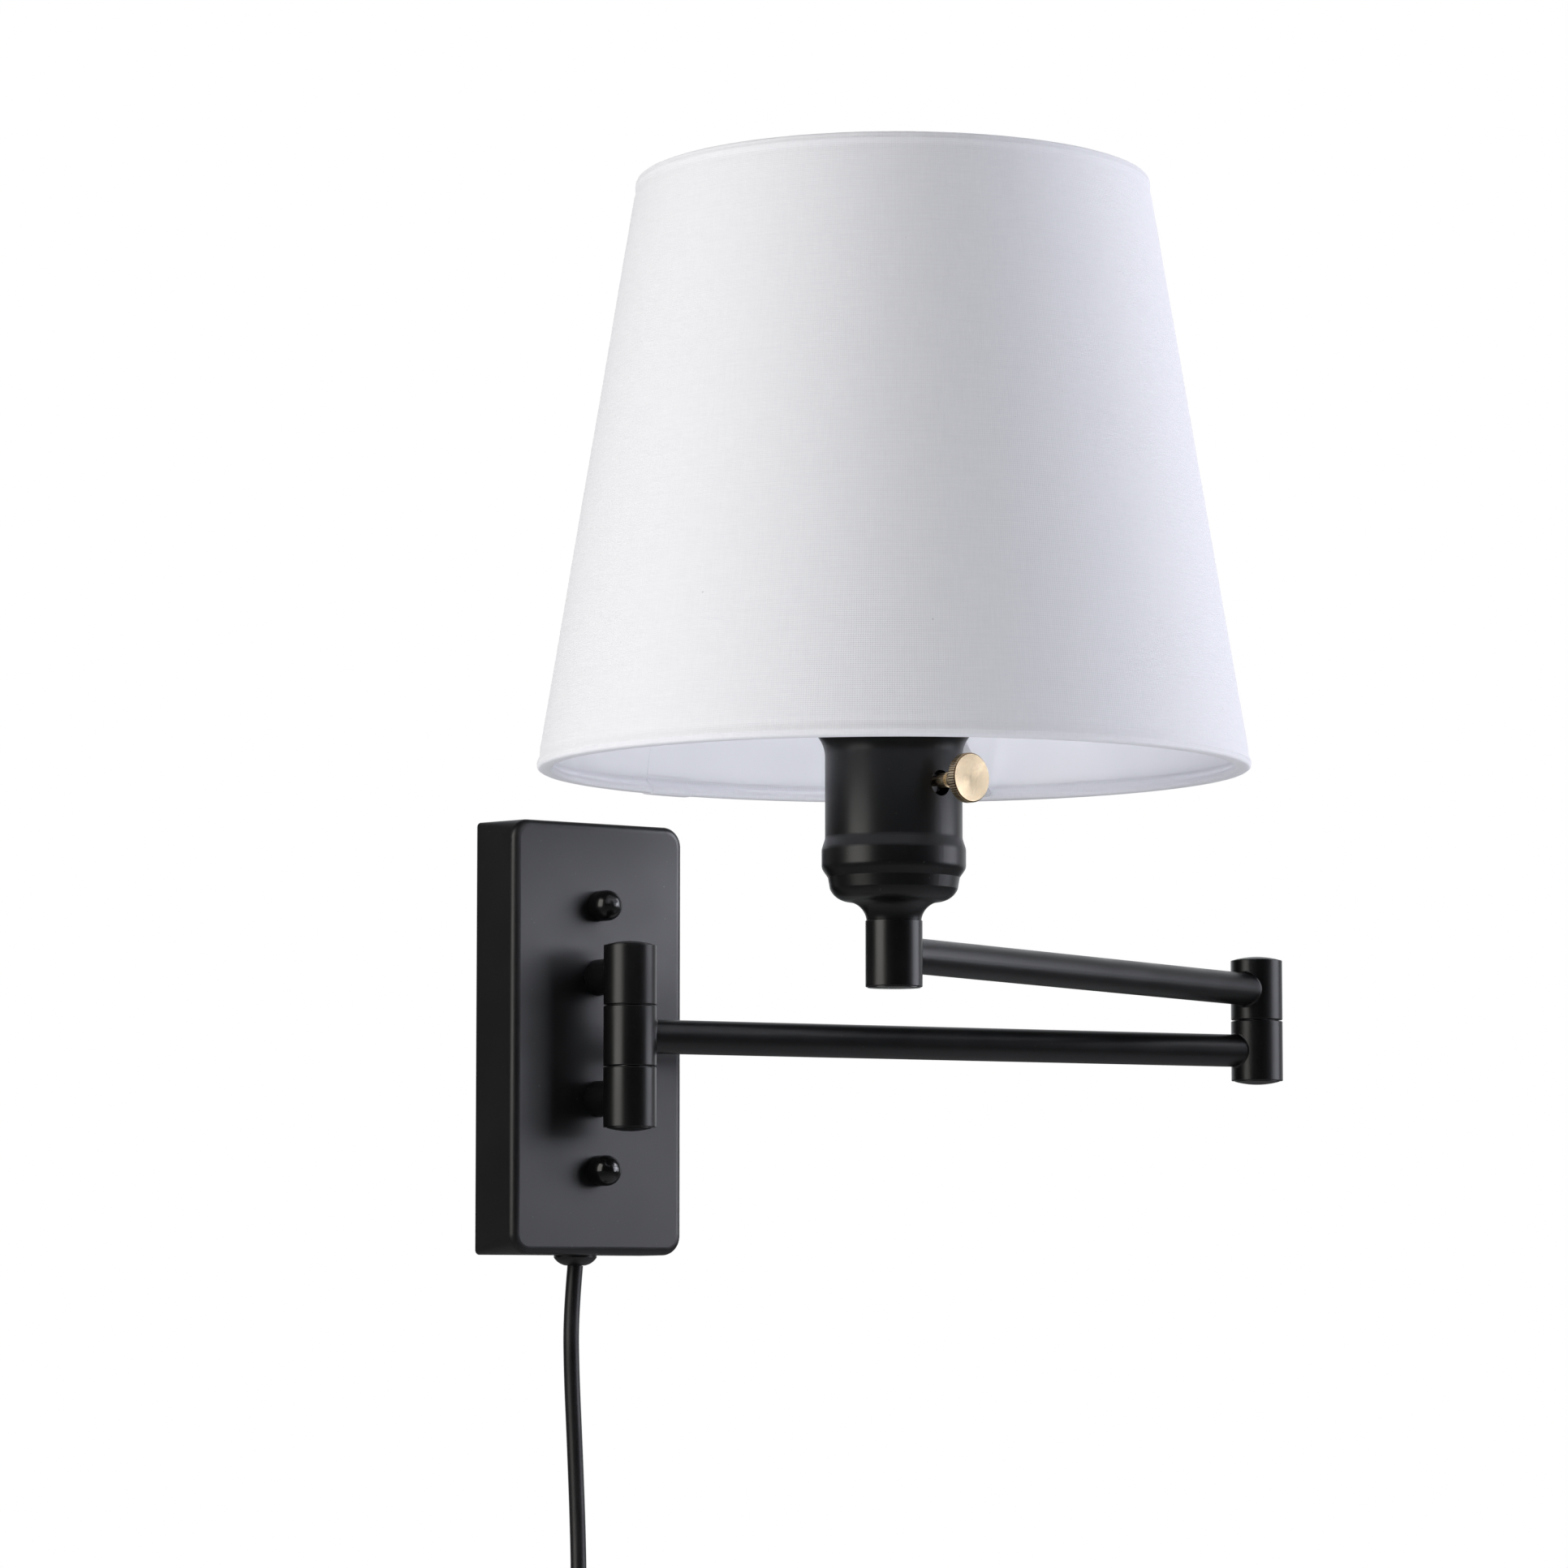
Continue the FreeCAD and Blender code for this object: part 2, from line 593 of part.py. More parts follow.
def make_knuckle_nipples():
    """Hollow threaded nipples that hold the standoffs to the plate and pass the wires."""
    length = D.nipple_reach + D.sheet_steel + D.nut_thick + 1.5
    body = turned("knuckle_nipples", tube_corners(D.nipple_bore, D.nipple_radius, 0.0, length))
    repeat_along(body, body.Tip, "Y", WALL_PITCH * 2, "nipple_pair")
    back = -D.plate_depth + D.sheet_steel + D.nut_thick + 1.5
    return place(body, y=back, z=-WALL_PITCH, turn=TO_ROOM)


def hexagon(flats):
    reach = flats / (2 * math.cos(math.pi / 6))
    turns = [math.pi / 3 * n for n in range(6)]
    return [(reach * math.cos(a), reach * math.sin(a)) for a in turns]


def nut_body(name, flats, bore, thick):
    body = new_body(name)
    outline = sketch_on(body, "XY_Plane", f"{name}_hexagon")
    add_outline(outline, hexagon(flats))
    add_circle(outline, 0.0, 0.0, bore)
    pad(body, outline, thick, f"{name}_pad")
    return body


def make_nipple_nuts():
    body = nut_body("nipple_nuts", D.nut_flats, D.nipple_radius, D.nut_thick)
    repeat_along(body, body.Tip, "Y", WALL_PITCH * 2, "nipple_nut_pair")
    front = -D.plate_depth + D.sheet_steel + D.nut_thick
    return place(body, y=front, z=-WALL_PITCH, turn=TO_ROOM)


# ---- arms -------------------------------------------------------------------

def make_arm_tube(name, start_radius, end_radius, x, y, z, angle):
    """Tube along X between the bosses of two barrels, from the first barrel's axis."""
    body = new_body(name)
    start = start_radius + D.boss_reach
    end = D.arm_length - end_radius - D.boss_reach
    outline = [(start, D.tube_bore), (end, D.tube_bore), (end, D.tube_radius), (start, D.tube_radius)]
    revolve(body, outline, f"{name}_turn", "XY_Plane", "H_Axis")
    return place(body, x, y, z, yaw(angle))


def make_lower_arm():
    running = D.spindle_radius + D.running_gap
    middle = arm_barrel("wall_barrel_middle", D.wall_barrel_radius, D.wall_barrel_length, running, 1)
    place(middle, y=JOINT_Y, turn=yaw(D.lower_yaw))
    make_arm_tube("lower_arm_tube", D.wall_barrel_radius, D.elbow_barrel_radius,
                  0.0, JOINT_Y, 0.0, D.lower_yaw)
    radius, length = D.elbow_barrel_radius, D.elbow_barrel_length
    lower = arm_barrel("elbow_barrel_lower", radius, length, D.spindle_radius, -1)
    place(lower, ELBOW_X, ELBOW_Y, 0.0, yaw(D.lower_yaw))
    low = D.spindle_inset - length / 2
    high = ARM_STEP + length / 2 - D.spindle_inset
    make_spindle("elbow_spindle", high - low, ELBOW_X, ELBOW_Y, low)
    make_washers("elbow_washer", [length / 2], ELBOW_X, ELBOW_Y)
    make_end_cap("elbow_cap_bottom", D.spindle_radius, radius - D.cap_margin, D.cap_dome,
                 ELBOW_X, ELBOW_Y, -length / 2, DOWNWARD)


def make_upper_arm():
    radius, length = D.elbow_barrel_radius, D.elbow_barrel_length
    running = D.spindle_radius + D.running_gap
    upper = arm_barrel("elbow_barrel_upper", radius, length, running, 1)
    place(upper, ELBOW_X, ELBOW_Y, ARM_STEP, yaw(D.upper_yaw))
    make_end_cap("elbow_cap_top", running, radius - D.cap_margin, D.cap_dome,
                 ELBOW_X, ELBOW_Y, ARM_STEP + length / 2)
    make_arm_tube("upper_arm_tube", radius, D.post_radius,
                  ELBOW_X, ELBOW_Y, ARM_STEP, D.upper_yaw)
    post = arm_barrel("post_barrel", D.post_radius, D.post_length, D.post_bore, -1)
    place(post, POST_X, POST_Y, ARM_STEP, yaw(D.upper_yaw))
    make_end_cap("post_cap", D.post_bore, D.post_cap_radius, D.post_cap_dome,
                 POST_X, POST_Y, ARM_STEP - D.post_length / 2, DOWNWARD)


# ---- lamp holder ------------------------------------------------------------

def make_cup():
    """Spun cup: waisted foot, round belly, one bead, straight wall and a flared rim."""
    body = new_body("socket_cup")
    skin = D.cup_sheet
    outer = [
        (D.holder_nipple_radius, 0.0), (D.cup_neck, 0.0, -D.cup_neck_curve),
        (D.cup_shoulder_radius, D.cup_shoulder_height, D.cup_belly_curve),
        (D.cup_belly_radius, D.cup_belly_height), (D.cup_waist_radius, D.cup_waist_height),
        (D.cup_bead_radius, D.cup_bead_low), (D.cup_bead_radius, D.cup_bead_high),
        (D.cup_radius, D.cup_wall_low), (D.cup_radius, D.cup_wall_high, -D.cup_rim_curve),
        (D.cup_rim_radius, D.cup_height),
    ]
    inner = [
        (D.cup_rim_radius - skin, D.cup_height, D.cup_rim_curve + skin),
        (D.cup_radius - skin, D.cup_wall_high), (D.cup_radius - skin, D.cup_waist_height + 2.0),
        (D.cup_floor_radius, D.cup_floor), (D.holder_nipple_radius, D.cup_floor),
    ]
    turn = revolve(body, outer + inner, "cup_turn")

    def is_bead(edge):
        heights = (D.cup_waist_height, D.cup_bead_low, D.cup_bead_high, D.cup_wall_low)
        return any(ring_edge(h.value, D.cup_radius.value)(edge) for h in heights)

    round_edges(body, turn, is_bead, D.cup_round, "cup_bead_rounds")
    hole = sketch_on(body, "YZ_Plane", "knob_opening")
    add_circle(hole, 0.0, D.knob_height - D.knob_hole_drop, D.knob_hole)
    pocket_through(body, hole, "knob_opening_cut", reverse=True)
    return place(body, POST_X, POST_Y, CUP_Z, yaw(D.knob_yaw))


def make_holder_nipple():
    length = D.holder_nipple_length
    corners = tube_corners(D.holder_nipple_bore, D.holder_nipple_radius, 0.0, length)
    body = turned("holder_nipple", corners)
    return place(body, POST_X, POST_Y, CUP_Z - D.holder_nipple_drop)


def make_cup_locknut():
    body = nut_body("cup_locknut", D.nut_flats + 3.0, D.holder_nipple_radius, D.nut_thick)
    return place(body, POST_X, POST_Y, CUP_Z + D.cup_floor)


def make_switch_block():
    """Moulded switch body with a flat for the bush and a bore for the knob's stem."""
    body = turned("switch_block", tube_corners(0.0, D.holder_radius, D.switch_low, D.switch_high))
    side = sketch_on(body, "XY_Plane", "switch_flat")
    spare = 4.0
    add_outline(side, block(spare, D.holder_radius * 2, D.switch_flat + spare / 2))
    pocket_through(body, side, "switch_flat_cut", reverse=True)
    hole = sketch_on(body, "YZ_Plane", "stem_bore")
    add_circle(hole, 0.0, D.knob_height, D.stem_radius + D.running_gap)
    pocket_through(body, hole, "stem_bore_cut", reverse=True)
    return place(body, POST_X, POST_Y, CUP_Z, yaw(D.knob_yaw))


def make_switch_bush():
    corners = tube_corners(D.stem_radius + D.running_gap, D.bush_radius, D.switch_flat, D.bush_end)
    return place(turned("switch_bush", corners), POST_X, POST_Y, CUP_Z + D.knob_height, OUT_TO_KNOB)


def make_socket_body():
    """Lamp holder: a shelf for the shade's ring, and a threaded neck above it."""
    neck = [(D.holder_neck_radius, D.shelf_high)]
    for crest in range(HOLDER_THREADS):
        low = D.shelf_high + 1.0 + D.thread_pitch * crest
        neck += [(D.holder_neck_radius, low), (D.holder_neck_radius - D.thread_depth, low + 0.9),
                 (D.holder_neck_radius, low + 1.8)]
    corners = [
        (0.0, D.switch_high), (D.holder_radius, D.switch_high), (D.holder_radius, D.shelf_low),
        (D.shelf_radius, D.shelf_low), (D.shelf_radius, D.shelf_high), *neck,
        (D.holder_neck_radius, D.holder_high), (D.shell_radius, D.holder_high),
        (D.shell_radius, D.socket_floor), (0.0, D.socket_floor),
    ]
    return place(turned("socket_body", corners), POST_X, POST_Y, CUP_Z)


def make_screw_shell():
    """Brass shell, a plain sleeve of the lamp thread's size with a lip at its mouth."""
    high = D.shell_low + D.shell_length
    corners = tube_corners(D.shell_bore, D.shell_radius, D.shell_low, high)
    return place(turned("screw_shell", corners), POST_X, POST_Y, CUP_Z)


def make_centre_contact():
    top = D.socket_floor + D.contact_height
    body = turned("centre_contact", [
        (0.0, D.socket_floor), (D.contact_radius, D.socket_floor), (D.contact_radius, top - 1.2),
        (D.contact_radius - 1.4, top), (0.0, top),
    ])
    return place(body, POST_X, POST_Y, CUP_Z)


def make_ring_nut():
    low = D.shelf_high + D.fitter_thick
    high = low + D.ring_nut_height
    inner = D.holder_neck_radius + 0.1
    body = turned("shade_ring_nut", [
        (inner, low), (D.ring_nut_radius, low), (D.ring_nut_radius, high - 1.5),
        (D.ring_nut_radius - 1.5, high), (inner, high),
    ])
    return place(body, POST_X, POST_Y, CUP_Z)


def make_knob():
    """Brass knob turned with its stem, then knurled round its edge."""
    body = new_body("switch_knob")
    face, back, edge = D.knob_face, D.knob_back, D.knob_edge
    turn = revolve(body, [
        (0.0, D.stem_start), (D.stem_radius, D.stem_start), (D.stem_radius, D.collar_start),
        (D.collar_radius, D.collar_start), (D.collar_radius, D.collar_end),
        (D.stem_radius, D.collar_end), (D.stem_radius, D.groove_end),
        (D.hub_radius, D.groove_end), (D.hub_radius, back - 2.4), (D.hub_flare, back),
        (D.knob_radius - edge, back), (D.knob_radius, back + edge),
        (D.knob_radius, face - edge), (D.knob_radius - edge, face), (0.0, face - D.knob_dish),
    ], "knob_turn")
    notch = sketch_on(body, "XY_Plane", "knurl_notch")
    reach = D.knob_radius + 0.2
    add_outline(notch, [
        (D.knob_radius - D.knurl_depth, 0.0), (reach, -D.knurl_half_width),
        (reach, D.knurl_half_width),
    ])
    cut = pocket_through(body, notch, "knurl_cut", reverse=True)
    pattern = body.newObject("PartDesign::PolarPattern", "knurls")
    pattern.Originals = [cut]
    pattern.Axis = (origin_feature(body, "Z_Axis"), [""])
    pattern.Angle = 360
    pattern.Occurrences = KNURLS
    body.Tip = pattern
    return place(body, POST_X, POST_Y, CUP_Z + D.knob_height, OUT_TO_KNOB)


# ---- shade ------------------------------------------------------------------

def shade_radius(height):
    """The cloth's outer radius at a height above the shade's lower rim."""
    fall = D.shade_low_radius - D.shade_high_radius
    return D.shade_low_radius - fall * height / D.shade_height


def cone_shell(name, outset, thick, trim):
    """A sheet wrapped into a cone, outset inside the cloth's face, cut short by trim."""
    low, high = as_size(trim), D.shade_height - trim
    outer_low, outer_high = shade_radius(low) - outset, shade_radius(high) - outset
    body = turned(name, [
        (outer_low - thick, low), (outer_low, low), (outer_high, high), (outer_high - thick, high),
    ])
    return place(body, POST_X, POST_Y, D.shade_bottom)


def hoop_radius(height):
    """Radius of the centre line of a wire hoop that lies inside the liner at that height."""
    return shade_radius(height) - D.cloth_thick - D.liner_thick - D.shade_wire - D.hoop_gap


def wire_ring(name, height):
    """A wire hoop inside the shade at one of its rims."""
    middle = hoop_radius(height)
    hoop = doc.addObject("Part::Torus", name)
    hoop.Label = name
    bind(hoop, "Radius1", middle)
    bind(hoop, "Radius2", D.shade_wire)
    return place(hoop, POST_X, POST_Y, D.shade_bottom + height)


def make_shade():
    cone_shell("shade_fabric", 0.0, D.cloth_thick, 0.0)
    cone_shell("shade_liner", D.cloth_thick, D.liner_thick, 1.0)
    wire_ring("shade_ring_low", D.hoop_inset)
    wire_ring("shade_ring_high", D.shade_height - D.hoop_inset)
    low = D.shelf_high
    corners = tube_corners(D.fitter_inner, D.fitter_outer, low, low + D.fitter_thick)
    place(turned("fitter_ring", corners), POST_X, POST_Y, CUP_Z)
    for number in range(SPIDER_ARMS):
        make_spider_arm(number)


def make_spider_arm(number):
    """A wire from the fitter ring out and down to the shade's lower hoop."""
    name = f"spider_arm_{number + 1}"
    wire = D.arm_wire.value
    hoop = hoop_radius(D.hoop_inset)
    low = D.shade_bottom + D.hoop_inset
    ring_z = CUP_Z + D.shelf_high + D.fitter_thick / 2
    inner = Vector(D.fitter_outer.value, 0, ring_z.value)
    bend = Vector(D.spider_flat.value, 0, ring_z.value)
    hoop_centre = Vector(hoop.value, 0, low.value)
    outer = hoop_centre - (hoop_centre - bend).normalize() * (D.shade_wire.value + 0.02)
    path = rounded_path([inner, bend, outer], [D.spider_bend.value])
    arm = doc.addObject("Part::Feature", name)
    arm.Label = name
    arm.Shape = swept_rod(path, inner, Vector(1, 0, 0), wire)
    return place(arm, POST_X, POST_Y, 0.0, yaw(D.spider_yaw + 360.0 / SPIDER_ARMS * number))


# ---- lead -------------------------------------------------------------------

def rounded_path(points, radii):
    """Straight runs joined by tangent arcs, one radius for each inner point."""
    edges = []
    start = points[0]
    for index in range(1, len(points) - 1):
        before, corner, after = points[index - 1], points[index], points[index + 1]
        way_in = (corner - before).normalize()
        way_out = (after - corner).normalize()
        half_turn = way_in.getAngle(way_out) / 2
        reach = radii[index - 1] * math.tan(half_turn)
        enter, leave = corner - way_in * reach, corner + way_out * reach
        inward = (way_out - way_in).normalize()
        middle = corner + inward * (radii[index - 1] * (1 / math.cos(half_turn) - 1))
        edges.append(Part.LineSegment(start, enter).toShape())
        edges.append(Part.Arc(enter, middle, leave).toShape())
        start = leave
    edges.append(Part.LineSegment(start, points[-1]).toShape())
    return Part.Wire(edges)


def swept_rod(path, start, way, radius):
    section = Part.Wire(Part.Circle(start, way, radius).toShape())
    return path.makePipeShell([section], True, False)


def route_radii(points):
    """As large an arc at each inner point as its two runs allow."""
    radii = []
    for before, corner, after in zip(points, points[1:], points[2:]):
        shorter = min((corner - before).Length, (after - corner).Length)
        half_turn = (corner - before).getAngle(after - corner) / 2
        radii.append(0.45 * shorter / math.tan(half_turn))
    return radii


def make_cord_lead():
    points = [Vector(*point) for point in CORD_ROUTE]
    radii = route_radii(points)
    path = rounded_path(points, radii)
    radius = D.cord_radius.value
    tube = swept_rod(path, points[0], points[1] - points[0], radius)
    print("cord arc radii", [round(r, 1) for r in radii], "length", round(path.Length, 1))
    print("cord volume ratio", round(tube.Volume / (math.pi * radius ** 2 * path.Length), 4))
    lead = doc.addObject("Part::Feature", "cord_lead")
    lead.Label = "cord_lead"
    lead.Shape = tube
    return place(lead)


def make_bushing():
    """Domed strain relief bushing under the plate, with its neck through the sheet."""
    sheet = D.sheet_steel
    body = turned("cord_bushing", [
        (0.0, -D.bushing_depth), (D.bushing_neck, -D.bushing_depth), (D.bushing_neck, 0.0),
        (D.bushing_radius, 0.0), (D.bushing_radius, 0.8, D.bushing_curve),
        (D.bushing_tip, D.bushing_drop), (0.0, D.bushing_drop),
    ])
    place(body, y=-D.bushing_inset, z=-D.plate_height / 2, turn=DOWNWARD)
    low = sheet - D.plate_height / 2
    nut = turned("bushing_nut", tube_corners(D.bushing_neck, D.bushing_nut_radius,
                                             0.0, D.bushing_nut_height))
    return place(nut, y=-D.bushing_inset, z=low)


def make_coil():
    """The outer shape of the wound lead: a ring with rounded edges, its axis along Y."""
    body = new_body("cord_coil")
    low, high = as_size(0.0), D.coil_width
    turn = revolve(body, tube_corners(D.coil_inner, D.coil_outer, low, high), "coil_turn")

    def is_ring(edge):
        return hasattr(edge.Curve, "Radius") and edge.Closed

    round_edges(body, turn, is_ring, D.coil_edge, "coil_edges")
    return place(body, y=-D.coil_back, z=-D.coil_low, turn=TO_ROOM)


def make_tie():
    """Hook and loop strap round the coil's bundle."""
    body = new_body("cord_tie")
    spare, wall = 0.45, D.tie_thick
    inner, outer = D.coil_inner - spare * 2, D.coil_outer + spare
    front, back = D.coil_back + D.coil_width + spare, D.coil_back - spare
    middle_x, middle_y = (inner + outer) / 2, -(front + back) / 2
    strap = sketch_on(body, "XY_Plane", "strap_section")
    add_outline(strap, block(outer - inner + wall * 2, front - back + wall * 2, middle_x, middle_y))
    add_outline(strap, block(outer - inner, front - back, middle_x, middle_y))
    pad(body, strap, D.tie_width, "strap_pad", middle=True)
    return place(body, z=-D.coil_low, turn=Rotation(Vector(0, -1, 0), D.tie_yaw.value))


def make_plug():
    """Two blade plug hanging below the coil, under its tapered strain relief."""
    top = -D.coil_low - D.relief_drop
    low = top - D.relief_length
    relief = turned("plug_relief", [
        (0.0, 0.0), (D.relief_low_radius, 0.0), (D.relief_high_radius, D.relief_length),
        (0.0, D.relief_length),
    ])
    place(relief, -D.plug_side, -D.plug_front, low)
    body = new_body("plug_body")
    bottom, shoulder = as_size(0.0), D.plug_length
    front = sketch_on(body, "XZ_Plane", "plug_front_view")
    half, neck = D.plug_width / 2, D.plug_neck_width / 2
    add_outline(front, [
        (-half, bottom), (half, bottom), (half, shoulder * 0.55), (neck, shoulder),
        (-neck, shoulder), (-half, shoulder * 0.55),
    ])
    slab = pad(body, front, D.plug_depth, "plug_slab", middle=True)

    def is_upright(edge):
        return edge.BoundBox.ZLength > 5

    round_edges(body, slab, is_upright, D.plug_round, "plug_rounds")
    place(body, -D.plug_side, -D.plug_front, low - D.plug_length)
    blades = new_body("plug_blades")
    section = sketch_on(blades, "XY_Plane", "blade_section")
    add_outline(section, block(D.blade_thick, D.blade_width))
    blade = pad(blades, section, D.blade_length, "blade", reverse=True)
    repeat_along(blades, blade, "X", D.blade_spacing, "blade_pair")
    left = -D.plug_side - D.blade_spacing / 2
    return place(blades, left, -D.plug_front, low - D.plug_length)


# ---- the document -----------------------------------------------------------

def check_document():
    for item in doc.Objects:
        if {"Invalid", "Error"} & set(item.State):
            raise RuntimeError(f"{item.Label} failed: {item.State}")
    for piece in pieces:
        if piece.Shape.isNull() or not piece.Shape.isValid() or not piece.Shape.Solids:
            raise RuntimeError(f"{piece.Label} has no valid solid")


def write_steps():
    os.makedirs("parts", exist_ok=True)
    for piece in pieces:
        piece.Shape.exportStep(f"parts/{piece.Label}.step")
    print(len(pieces), "pieces written")


doc = FreeCAD.newDocument("SwingArmSconce")
pieces = []
D = Sizes(make_sheet())
JOINT_Y = -(D.plate_depth + D.knuckle_offset)
WALL_PITCH = D.wall_barrel_length + D.joint_gap
ARM_STEP = D.elbow_barrel_length + D.joint_gap
ELBOW_X = D.arm_length * cosine(D.lower_yaw)
ELBOW_Y = JOINT_Y + D.arm_length * sine(D.lower_yaw)
POST_X = ELBOW_X + D.arm_length * cosine(D.upper_yaw)
POST_Y = ELBOW_Y + D.arm_length * sine(D.upper_yaw)
CUP_Z = ARM_STEP + D.post_length / 2
OUT_TO_KNOB = yaw(D.knob_yaw) * Rotation(Vector(0, 1, 0), 90)

make_backplate()
make_bracket()
make_studs()
make_cap_nuts()
make_ground_screw()
make_splices()
make_inner_wires()
make_wall_joint()
make_knuckle_nipples()
make_nipple_nuts()
make_lower_arm()
make_upper_arm()
make_cup()
make_holder_nipple()
make_cup_locknut()
make_switch_block()
make_switch_bush()
make_socket_body()
make_screw_shell()
make_centre_contact()
make_ring_nut()
make_knob()
make_shade()
make_bushing()
make_cord_lead()
make_coil()
make_tie()
make_plug()
doc.recompute()
check_document()
write_steps()
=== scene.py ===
import json
import math

import bpy
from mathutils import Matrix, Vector, noise


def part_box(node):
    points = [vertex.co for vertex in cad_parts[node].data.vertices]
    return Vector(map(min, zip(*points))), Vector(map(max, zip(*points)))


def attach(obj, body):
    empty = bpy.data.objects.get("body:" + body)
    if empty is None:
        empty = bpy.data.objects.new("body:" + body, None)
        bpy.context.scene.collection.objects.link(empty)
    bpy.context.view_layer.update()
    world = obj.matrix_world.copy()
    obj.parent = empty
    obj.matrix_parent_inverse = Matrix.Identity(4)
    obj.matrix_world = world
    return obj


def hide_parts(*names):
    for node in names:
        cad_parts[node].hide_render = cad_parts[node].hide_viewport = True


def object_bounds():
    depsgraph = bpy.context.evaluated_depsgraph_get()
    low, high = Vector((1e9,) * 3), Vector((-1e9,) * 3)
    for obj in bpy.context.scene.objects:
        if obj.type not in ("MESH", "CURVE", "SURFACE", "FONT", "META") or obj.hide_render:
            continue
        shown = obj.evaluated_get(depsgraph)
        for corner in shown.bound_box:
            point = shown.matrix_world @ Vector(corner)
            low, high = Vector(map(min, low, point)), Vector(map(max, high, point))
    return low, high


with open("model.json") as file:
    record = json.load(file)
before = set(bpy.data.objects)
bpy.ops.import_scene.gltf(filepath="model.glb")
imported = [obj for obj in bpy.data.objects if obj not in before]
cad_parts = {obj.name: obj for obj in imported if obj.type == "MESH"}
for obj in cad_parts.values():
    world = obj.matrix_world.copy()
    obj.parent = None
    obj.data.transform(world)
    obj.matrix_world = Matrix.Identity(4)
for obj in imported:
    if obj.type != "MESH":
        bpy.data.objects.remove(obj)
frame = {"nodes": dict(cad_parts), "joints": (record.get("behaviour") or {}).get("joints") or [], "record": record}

# Metres, +Z up. The wall is the plane Y = 0 and the room is on its -Y side.
cad_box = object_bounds()
nodes = frame["nodes"]
MM = 0.001


# ---- places taken from the frame ---------------------------------------------

def middle(node):
    low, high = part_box(node)
    return (low + high) / 2


def half_width(node):
    low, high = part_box(node)
    return (high.x - low.x) / 2


def half_height(node):
    low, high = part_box(node)
    return (high.z - low.z) / 2


shade_axis = middle("shade_fabric")
shade_low, shade_high = (corner.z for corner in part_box("shade_fabric"))
foot_radius = half_width("shade_fabric")
hoop_low, hoop_high = middle("shade_ring_low"), middle("shade_ring_high")
hoop_wire = half_height("shade_ring_low")
hoop_radius = half_width("shade_ring_low") - hoop_wire
hoop_step = half_width("shade_ring_low") - half_width("shade_ring_high")
shade_slope = hoop_step / (hoop_high.z - hoop_low.z)
knob_radius = half_height("switch_knob")


# ---- materials ---------------------------------------------------------------

class Finish:
    """A node material, with short calls for the nodes that the finishes share.
    Patterns are placed in metres: place is in the object, and flat is on a cloth."""

    def __init__(self, name):
        self.material = bpy.data.materials.new(name)
        self.material.use_nodes = True
        self.tree = self.material.node_tree
        self.shader = self.tree.nodes["Principled BSDF"]
        source = self.add("ShaderNodeTexCoord")
        self.place = source.outputs["Object"]
        self.flat = source.outputs["UV"]

    def add(self, kind, **settings):
        node = self.tree.nodes.new(kind)
        for name, value in settings.items():
            setattr(node, name, value)
        return node

    def feed(self, socket, value):
        if isinstance(value, bpy.types.NodeSocket):
            self.tree.links.new(value, socket)
        else:
            socket.default_value = value

    def set(self, **values):
        """Constants on the shader's own sockets."""
        for name, value in values.items():
            self.shader.inputs[name.replace("_", " ")].default_value = value

    def math(self, operation, first, second=0.0, third=0.0):
        node = self.add("ShaderNodeMath", operation=operation)
        for socket, value in zip(node.inputs, (first, second, third)):
            self.feed(socket, value)
        return node.outputs[0]

    def vector(self, operation, first, second=None):
        node = self.add("ShaderNodeVectorMath", operation=operation)
        self.feed(node.inputs[0], first)
        if second is not None:
            self.feed(node.inputs[1], second)
        return node.outputs["Value" if operation in ("DOT_PRODUCT", "LENGTH") else "Vector"]

    def stretch(self, place, scale):
        return self.vector("MULTIPLY", place, scale)

    def grain(self, scale, detail=2.0, rough=0.5, place=None):
        node = self.add("ShaderNodeTexNoise")
        self.feed(node.inputs["Vector"], self.place if place is None else place)
        node.inputs["Scale"].default_value = scale
        node.inputs["Detail"].default_value = detail
        node.inputs["Roughness"].default_value = rough
        return node.outputs["Fac"]

    def between(self, value, start, end, low=0.0, high=1.0):
        node = self.add("ShaderNodeMapRange")
        for socket, number in zip(node.inputs, (value, start, end, low, high)):
            self.feed(socket, number)
        return node.outputs[0]

    def blend(self, share, first, second):
        node = self.add("ShaderNodeMix", data_type="RGBA")
        self.feed(node.inputs[0], share)
        self.feed(node.inputs[6], (*first, 1.0) if isinstance(first, tuple) else first)
        self.feed(node.inputs[7], (*second, 1.0) if isinstance(second, tuple) else second)
        return node.outputs[2]

    def bump(self, height, strength, depth, under=None):
        node = self.add("ShaderNodeBump")
        node.inputs["Strength"].default_value = strength
        node.inputs["Distance"].default_value = depth
        self.feed(node.inputs["Height"], height)
        if under is not None:
            self.feed(node.inputs["Normal"], under)
        return node.outputs["Normal"]

    def finish(self, colour=None, roughness=None, normal=None):
        for name, value in (("Base Color", colour), ("Roughness", roughness), ("Normal", normal)):
            if value is not None:
                self.feed(self.shader.inputs[name], value)
        return self.material


def powder_coat(name, dark, light, rough_low, rough_high, gloss=0.5):
    """Satin black coat: a very fine orange peel, cloudy gloss and a few pale specks."""
    f = Finish(name)
    cloud = f.grain(18.0, 3.0)
    speck = f.between(f.grain(900.0, 1.0), 0.795, 0.83)
    coat = f.blend(f.between(cloud, 0.35, 0.65), dark, light)
    colour = f.blend(speck, coat, (0.09, 0.09, 0.09))
    roughness = f.between(f.grain(45.0, 4.0), 0.3, 0.7, rough_low, rough_high)
    peel = f.bump(f.grain(650.0, 2.0), 0.12, 0.05 * MM)
    fine = f.bump(f.grain(2600.0, 2.0), 0.18, 0.02 * MM, peel)
    f.set(Specular_IOR_Level=gloss)
    return f.finish(colour, roughness, fine)


